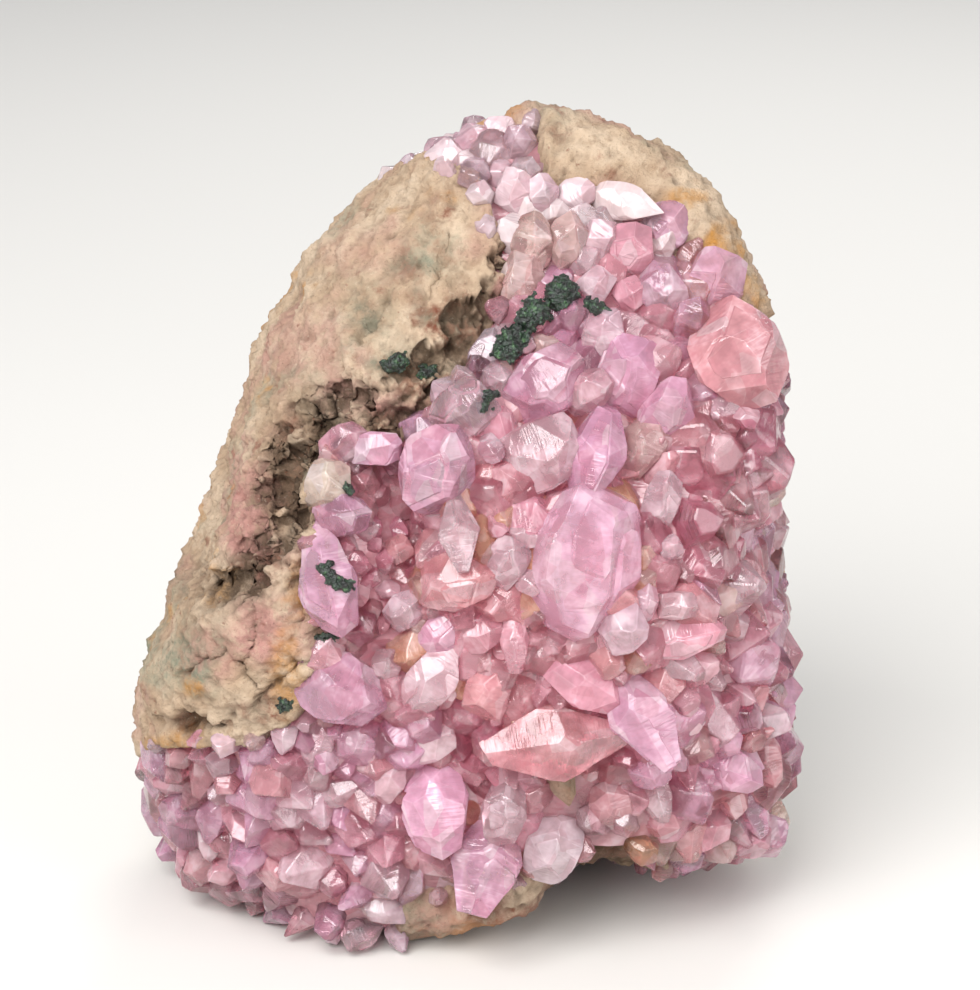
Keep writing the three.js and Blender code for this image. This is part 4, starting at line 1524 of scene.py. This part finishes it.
@dataclass
class Druse:
    """The druse: a bed of calcite on the rock, the large crystals and the small ones."""

    bed_depth: float = 1.7
    hidden_depth: float = 4.2
    bed_roughness: float = 0.8
    bed_foot: float = 0.6  # the bed ends this far above the ground
    bed_clearness: float = 0.6
    large_clearness: float = 0.68
    large_flatness: float = 0.84  # how thick they are from front to back, in widths
    large_crowding: float = 0.27  # how near small crystals come, in lengths
    parallel_sizes: tuple[float, float] = (0.55, 0.86)  # of the growths on their faces
    small_clearness: float = 0.74
    small_blank: float = 4.0  # the length that the small ones are cut at
    crowding: tuple[float, float] = (0.5, 0.95)  # how near they come, in spacings
    least_margin: float = 0.1  # they seat this far inside the druse's edge
    least_height: float = 0.8
    edge_stand: float = 1.1  # how much further they stand off the bed at its edge
    cutter: CrystalCutter = field(default_factory=CrystalCutter)
    draw: random.Random = field(default_factory=lambda: random.Random(19))
    patterns: int = 18
    box_margin: float = 0.8  # how far a crystal may pass the CAD box
    ground_clear: float = 0.15  # how far it stays above the ground

    def bed(self) -> bpy.types.Object:
        """Lay the calcite that the crystals stand on: a skin under the druse, below the rock
        elsewhere.

        Returns:
            The bed, still without its crystals.
        """
        deselect()
        bpy.ops.mesh.primitive_ico_sphere_add(subdivisions=5, radius=1.0)
        piece = bpy.context.object
        piece.name = "calcite_druse_crystals"
        ways = points_of(piece.data) * MM
        ways /= np.linalg.norm(ways, axis=1)[:, None]
        reach = LUMP.radius(ways)
        outer = ways * reach[:, None] + np.array(FACE.middle)
        shown = smoothstep(-1.6, -0.2, LUMP.druse_margin(outer))
        depth = self.bed_depth + LUMP.hollow_at(outer)
        depth = depth - self.bed_roughness * fractal(outer, 4.0, 3, 9.0)
        depth = depth * shown + self.hidden_depth * (1 - shown)
        points = ways * (reach - depth)[:, None] + np.array(FACE.middle)
        points[:, 2] = np.maximum(points[:, 2], self.bed_foot)
        move_points(piece.data, points)
        return piece

    def varied(self, tint: Tint, clearness: float) -> tuple[float, float, float, float]:
        """Make a body colour a little lighter or darker than its name.

        Args:
            tint: The body colour that it starts from.
            clearness: How clear such a crystal is, from 0 to 1.

        Returns:
            Red, green and blue, linear, and its own clearness.
        """
        lightness = self.draw.uniform(0.88, 1.06)
        red, green, blue, _ = linear(tint.value)
        shift = self.draw.uniform(-0.04, 0.04)
        clearness += self.draw.uniform(-0.12, 0.12) - (0.2 if tint is Tint.FROST else 0)
        body = (red * lightness, green * (lightness + shift), blue * lightness)
        return (*(min(share, 1) for share in body), clearness)

    def build(self) -> bpy.types.Object:
        """Grow the whole druse as one solid.

        Returns:
            The finished piece.
        """
        bed = self.bed()
        tree = BVHTree.FromPolygons(
            [tuple(p) for p in points_of(bed.data)],
            [tuple(f.vertices) for f in bed.data.polygons],
        )
        seats = self.large(tree)
        knob = (self.seat(tree, LUMP.knob.at), LUMP.knob_clear)
        small = self.small(bed, [*seats, knob])
        self.dress_bed(bed)
        work_with(
            bed,
            "BOOLEAN",
            operation="UNION",
            solver="MANIFOLD",
            operand_type="COLLECTION",
            collection=self.cutter.grown,
        )
        for crystal in list(self.cutter.grown.objects):
            bpy.data.objects.remove(crystal)
        bpy.data.collections.remove(self.cutter.grown)
        bed.data.materials.clear()
        bed.data.materials.append(CobaltoanCalciteFinish().build())
        take_up(bed)
        bpy.ops.object.shade_flat()
        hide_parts("calcite_druse")
        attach(bed, BODY)
        log.info(
            "druse: %d large and %d small crystals, %d faces",
            len(seats),
            small,
            len(bed.data.polygons),
        )
        return bed

    def dress_bed(self, bed: bpy.types.Object) -> None:
        """Give the bed the attributes that the crystals carry.

        Args:
            bed: The bed.
        """
        mesh = bed.data
        corners = np.empty(len(mesh.loops), int)
        mesh.loops.foreach_get("vertex_index", corners)
        own = points_of(mesh)[corners]
        grown = mesh.attributes.new("grown", "FLOAT_VECTOR", "CORNER")
        grown.data.foreach_set("vector", own.astype(np.float32).ravel())
        colour = mesh.attributes.new("tint", "FLOAT_COLOR", "CORNER")
        colours = np.tile(np.array(linear(Tint.DUSTY.value), np.float32), (len(corners), 1))
        colours[:, 3] = self.bed_clearness
        colour.data.foreach_set("color", colours.ravel())

    def hold(self, stand: Matrix, corners: np.ndarray) -> Matrix:
        """Draw a crystal back to where it stays inside the box of the CAD nodes.

        Args:
            stand: Its place.
            corners: Its corners at the origin, in its full size.

        Returns:
            The place that it keeps.
        """
        low, high = (np.array(corner) / MM for corner in CAD_BOX)
        low, high = low - (self.box_margin, self.box_margin, -self.ground_clear), high + self.box_margin
        placed = corners @ np.array(stand.to_3x3()).T + np.array(stand.translation)
        over = np.maximum(placed.max(0) - high, 0) - np.maximum(low - placed.min(0), 0)
        held = stand.copy()
        held.translation -= Vector(over)
        return held

    @staticmethod
    def seat(tree: BVHTree, place: tuple[float, float]) -> Vector:
        """The point of the bed that a sight line meets, or passes nearest to.

        Args:
            tree: The bed.
            place: Where the sight line crosses the face plane.

        Returns:
            That point.
        """
        way = FACE.sight_line(place)
        hit = tree.ray_cast(FACE.eye, way)[0]
        if hit is not None:
            return hit
        found = []
        for step in range(-40, 41):
            seen = tree.find_nearest(FACE.point(place) + 0.5 * step * way)
            found.append((seen[3], seen[0]))
        return min(found, key=lambda pair: pair[0])[1]

    def large(self, tree: BVHTree) -> list[tuple[Vector, float]]:
        """Grow the large crystals, each with steps of parallel growth on its faces.

        Args:
            tree: The bed.

        Returns:
            The middle of each and the reach within which it crowds out small ones.
        """
        seats = []
        for crystal in LARGE_CRYSTALS:
            middle = self.seat(tree, crystal.at) + crystal.stands * FACE.out
            stand = self.cutter.stand_for(middle, crystal.axis(), math.radians(crystal.turn))
            pattern = self.cutter.cut(crystal.length, crystal.width, crystal.habit, 4, 2)
            tint = self.varied(crystal.tint, self.large_clearness)
            pattern.data.transform(Matrix.Diagonal((self.large_flatness, 1, 1, 1)))
            corners = points_of(pattern.data)
            stand = self.hold(stand, corners)
            self.cutter.plant(pattern.data, (1, 1, 1), stand, tint)
            for _ in range(3 if crystal.length > 4.5 else 1):
                size = self.draw.uniform(*self.parallel_sizes)
                way_out = Vector([self.draw.gauss(0, 1) for _ in range(3)])
                way_out.z *= 0.45
                way_out.normalize()
                reach = float((corners @ np.array(way_out)).max())
                shift = way_out * (reach * (1 - size) + 0.02 * crystal.width)
                step = self.hold(stand @ Matrix.Translation(shift), size * corners)
                self.cutter.plant(pattern.data, (size, size, size), step, tint)
            bpy.data.objects.remove(pattern)
            self.cutter.rims.clear()
            seats.append((middle, self.large_crowding * crystal.length))
        return seats

    def small(self, bed: bpy.types.Object, seats: list[tuple[Vector, float]]) -> int:
        """Fill the druse with small crystals.

        Args:
            bed: The bed.
            seats: The middles and reaches of what they keep clear of.

        Returns:
            How many there are.
        """
        habits = [DOGTOOTH, RHOMB, LEAF, BARREL, LEAF, DOGTOOTH]
        patterns = []
        for number in range(self.patterns):
            slim = 0.45 + 0.4 * number / self.patterns
            width = self.small_blank * slim
            patterns.append(self.cutter.cut(self.small_blank, width, habits[number % 6], 3, 1))
        points = points_of(bed.data)
        normals = normals_of(bed.data)
        reach = np.linalg.norm(points - np.array(FACE.middle), axis=1)
        ways = (points - np.array(FACE.middle)) / reach[:, None]
        outer = ways * LUMP.radius(ways)[:, None] + np.array(FACE.middle)
        margin = LUMP.druse_margin(outer)
        places = FACE.places(points)
        seated = (margin > self.least_margin) & (points[:, 2] > self.least_height)
        order = [i for i in range(len(points)) if seated[i]]
        self.draw.shuffle(order)
        taken = np.array([tuple(seat) for seat, _ in seats])
        room = np.array([crowd for _, crowd in seats])
        count = 0
        for index in order:
            point = Vector(points[index])
            growth = Zone.at(point, places[index]).value
            spacing = growth.spacing * self.draw.uniform(*self.crowding)
            spacing = min(spacing, 0.7 + 0.5 * margin[index])
            gaps = np.linalg.norm(taken - points[index], axis=1)
            if (gaps < np.maximum(room, spacing)).any():
                continue
            taken = np.vstack([taken, points[index]])
            room = np.append(room, 0)
            normal = Vector(normals[index])
            lean = Vector([self.draw.gauss(0, 0.5) for _ in range(3)])
            axis = (normal + growth.lean * lean).normalized()
            length = min(self.draw.uniform(*growth.length), 2.2 + 1.5 * margin[index])
            slimness = self.draw.uniform(*growth.slimness)
            pattern = self.draw.choice(patterns)
            across = length * slimness / max(pattern.dimensions.x / MM, 0.1)
            size = (across, across, length / (pattern.dimensions.z / MM))
            at_edge = self.edge_stand * float(smoothstep(2.2, 0.3, margin[index]))
            middle = point + (growth.stands + at_edge) * normal
            stand = self.cutter.stand_for(middle, axis, self.draw.uniform(0, math.tau))
            stand = self.hold(stand, points_of(pattern.data) * np.array(size))
            tint = self.varied(self.draw.choice(growth.tints), self.small_clearness)
            self.cutter.plant(pattern.data, size, stand, tint)
            count += 1
        for pattern in patterns:
            bpy.data.objects.remove(pattern)
        return count


# ---- The malachite ----


@dataclass
class Malachite:
    """Clumps of fine malachite grains, each where its CAD node is."""

    carriers: list[bpy.types.Object]
    grain: float = 0.21
    grain_sizes: tuple[float, float] = (0.4, 1.8)  # in grains
    squeezes: tuple[float, float] = (0.45, 1.6)
    jog: float = 0.14  # how far a grain may stray off the core
    swell: float = 1.15  # how much wider the clump is than its node
    count: tuple[float, float] = (12, 3.2)  # grains in all, and for each square millimetre
    voxel: float = 0.08
    roughness: float = 0.08
    rough_reach: float = 0.3
    most_off: float = 2.5  # how far the grown surface may lie from the node
    draw: random.Random = field(default_factory=lambda: random.Random(5))
    finish: bpy.types.Material = field(init=False)
    trees: list[BVHTree] = field(init=False)

    def __post_init__(self) -> None:
        """Make the finish that all clumps share, and ready the surfaces they sit on."""
        self.finish = MalachiteFinish().build()
        graph = bpy.context.evaluated_depsgraph_get()
        self.trees = [BVHTree.FromObject(piece, graph) for piece in self.carriers]

    def seat(self, point: Vector) -> Vector | None:
        """Find the surface on the sight line through a point, if one is near.

        Args:
            point: The point, in millimetres.

        Returns:
            The nearest such point of the surface, or None.
        """
        eye = FACE.eye * MM
        way = (point * MM - eye).normalized()
        hits = [hit for hit in (tree.ray_cast(eye, way) for tree in self.trees) if hit[0]]
        if not hits:
            return None
        nearest = min(hits, key=lambda hit: hit[3])[0] / MM
        return nearest if (nearest - point).length < self.most_off else None

    def build(self, node: str) -> bpy.types.Object:
        """Pile the grains of one clump.

        Args:
            node: The CAD node that it stands for.

        Returns:
            The finished piece.
        """
        core = bpy.data.objects.new(node + "_grains", frame["nodes"][node].data.copy())
        bpy.context.scene.collection.objects.link(core)
        middle = Vector(points_of(core.data).mean(0))
        seat = self.seat(middle)
        if seat is not None:
            about = Matrix.Translation(seat * MM) @ Matrix.Scale(self.swell, 4)
            core.data.transform(about @ Matrix.Translation(-middle * MM))
        take_up(core)
        bpy.ops.object.mode_set(mode="EDIT")
        bpy.ops.mesh.select_all(action="SELECT")
        bpy.ops.mesh.remove_doubles(threshold=0.001 * MM)
        bpy.ops.object.mode_set(mode="OBJECT")
        faces = [(face.center.copy(), face.area / MM**2) for face in core.data.polygons]
        weights = [area for _, area in faces]
        deselect()
        bpy.ops.mesh.primitive_ico_sphere_add(subdivisions=1, radius=1.0)
        pattern = bpy.context.object
        grains = [core]
        count = int(self.count[0] + self.count[1] * sum(weights))
        for place, _ in self.draw.choices(faces, weights, k=count):
            jog = Vector([self.draw.gauss(0, self.jog) for _ in range(3)]) * MM
            size = self.grain * self.draw.uniform(*self.grain_sizes)
            mesh = pattern.data.copy()
            turn = Matrix.Rotation(self.draw.uniform(0, math.tau), 4, Vector((1, 1, 0.3)))
            squeeze = Matrix.Diagonal((*(self.draw.uniform(*self.squeezes) for _ in range(3)), 1))
            stand = Matrix.Translation(place + jog) @ turn @ Matrix.Scale(size * MM, 4)
            mesh.transform(stand @ squeeze)
            piece = bpy.data.objects.new("grain", mesh)
            bpy.context.scene.collection.objects.link(piece)
            grains.append(piece)
        bpy.data.objects.remove(pattern)
        deselect()
        for piece in grains:
            piece.select_set(True)
        bpy.context.view_layer.objects.active = core
        bpy.ops.object.join()
        clump = bpy.context.object
        work_with(clump, "REMESH", mode="VOXEL", voxel_size=self.voxel * MM)
        points = points_of(clump.data)
        rough = blocks(points, self.rough_reach, 3.3) * 0.5
        rough = rough + fractal(points, self.rough_reach, 2, 3.3)
        shift = (self.roughness * rough)[:, None]
        move_points(clump.data, points + normals_of(clump.data) * shift)
        clump.data.materials.clear()
        clump.data.materials.append(self.finish)
        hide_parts(node)
        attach(clump, BODY)
        log.info("%s: %d grains, %d faces", node, len(grains) - 1, len(clump.data.polygons))
        return clump


# ---- The studio ----


@dataclass(frozen=True)
class Studio:
    """A pale floor, soft lights and the camera at the eye."""

    picture: tuple[int, int] = (980, 990)
    focal_pixels: float = 3432.0
    film: float = 36.0
    aim: tuple[float, float] = (1.44, 1.89)
    floor_colour: str = "#D9D6D1"
    floor_side: float = 4.0  # metres
    air_colour: str = "#E8ECF2"
    air_strength: float = 0.45

    def light(self, name: str, at: tuple[float, float, float], side: float, watts: float) -> None:
        """Hang a square soft light that faces the specimen.

        Args:
            name: Its name.
            at: Where it hangs.
            side: The side of its square.
            watts: Its power.
        """
        lamp = bpy.data.lights.new(name, "AREA")
        lamp.shape = "SQUARE"
        lamp.size = side * MM
        lamp.energy = watts
        holder = bpy.data.objects.new(name, lamp)
        holder.location = Vector(at) * MM
        holder.rotation_euler = (FACE.centre - Vector(at)).to_track_quat("-Z", "Y").to_euler()
        bpy.context.scene.collection.objects.link(holder)

    def build(self) -> None:
        """Set the floor, the lights, the sky and the camera."""
        scene = bpy.context.scene
        deselect()
        bpy.ops.mesh.primitive_plane_add(size=self.floor_side)
        floor = bpy.context.object
        floor.name = "studio_floor"
        recipe = Recipe("matt_floor_paper")
        surface = recipe.add(
            "ShaderNodeBsdfPrincipled",
            {"Base Color": linear(self.floor_colour), "Roughness": 0.9},
        )
        recipe.add("ShaderNodeOutputMaterial", {"Surface": surface.outputs[0]})
        floor.data.materials.append(recipe.material)

        self.light("key_softbox", (-150, -290, 320), 330, 3.1)
        self.light("right_fill", (330, -260, 190), 300, 1.0)
        self.light("back_rim", (90, 300, 320), 200, 0.7)
        world = bpy.data.worlds.new("studio_air")
        scene.world = world
        world.use_nodes = True
        air = world.node_tree.nodes["Background"].inputs
        air["Color"].default_value = linear(self.air_colour)
        air["Strength"].default_value = self.air_strength

        lens = bpy.data.cameras.new("camera")
        lens.sensor_width = self.film
        lens.lens = self.focal_pixels * self.film / max(self.picture)
        lens.clip_start = 0.01
        camera = bpy.data.objects.new("camera", lens)
        camera.location = FACE.eye * MM
        aim = FACE.sight_line(self.aim)
        camera.rotation_euler = aim.to_track_quat("-Z", "Y").to_euler()
        scene.collection.objects.link(camera)
        scene.camera = camera
        scene.view_settings.view_transform = "Standard"
        # The light goes through two or three crystals at most before it is lost to sight.
        scene.cycles.max_bounces = 6
        scene.cycles.transmission_bounces = 5
        scene.cycles.diffuse_bounces = 2
        scene.cycles.glossy_bounces = 2


def main() -> None:
    """Build the specimen and its studio, in order."""
    logging.basicConfig(level=logging.INFO, format="%(name)s: %(message)s")
    Studio().build()
    rock = HostRock().build()
    druse = Druse().build()
    malachite = Malachite([rock, druse])
    for node in sorted(frame["nodes"]):
        if node.startswith("malachite"):
            malachite.build(node)


if __name__ == "__main__":
    main()
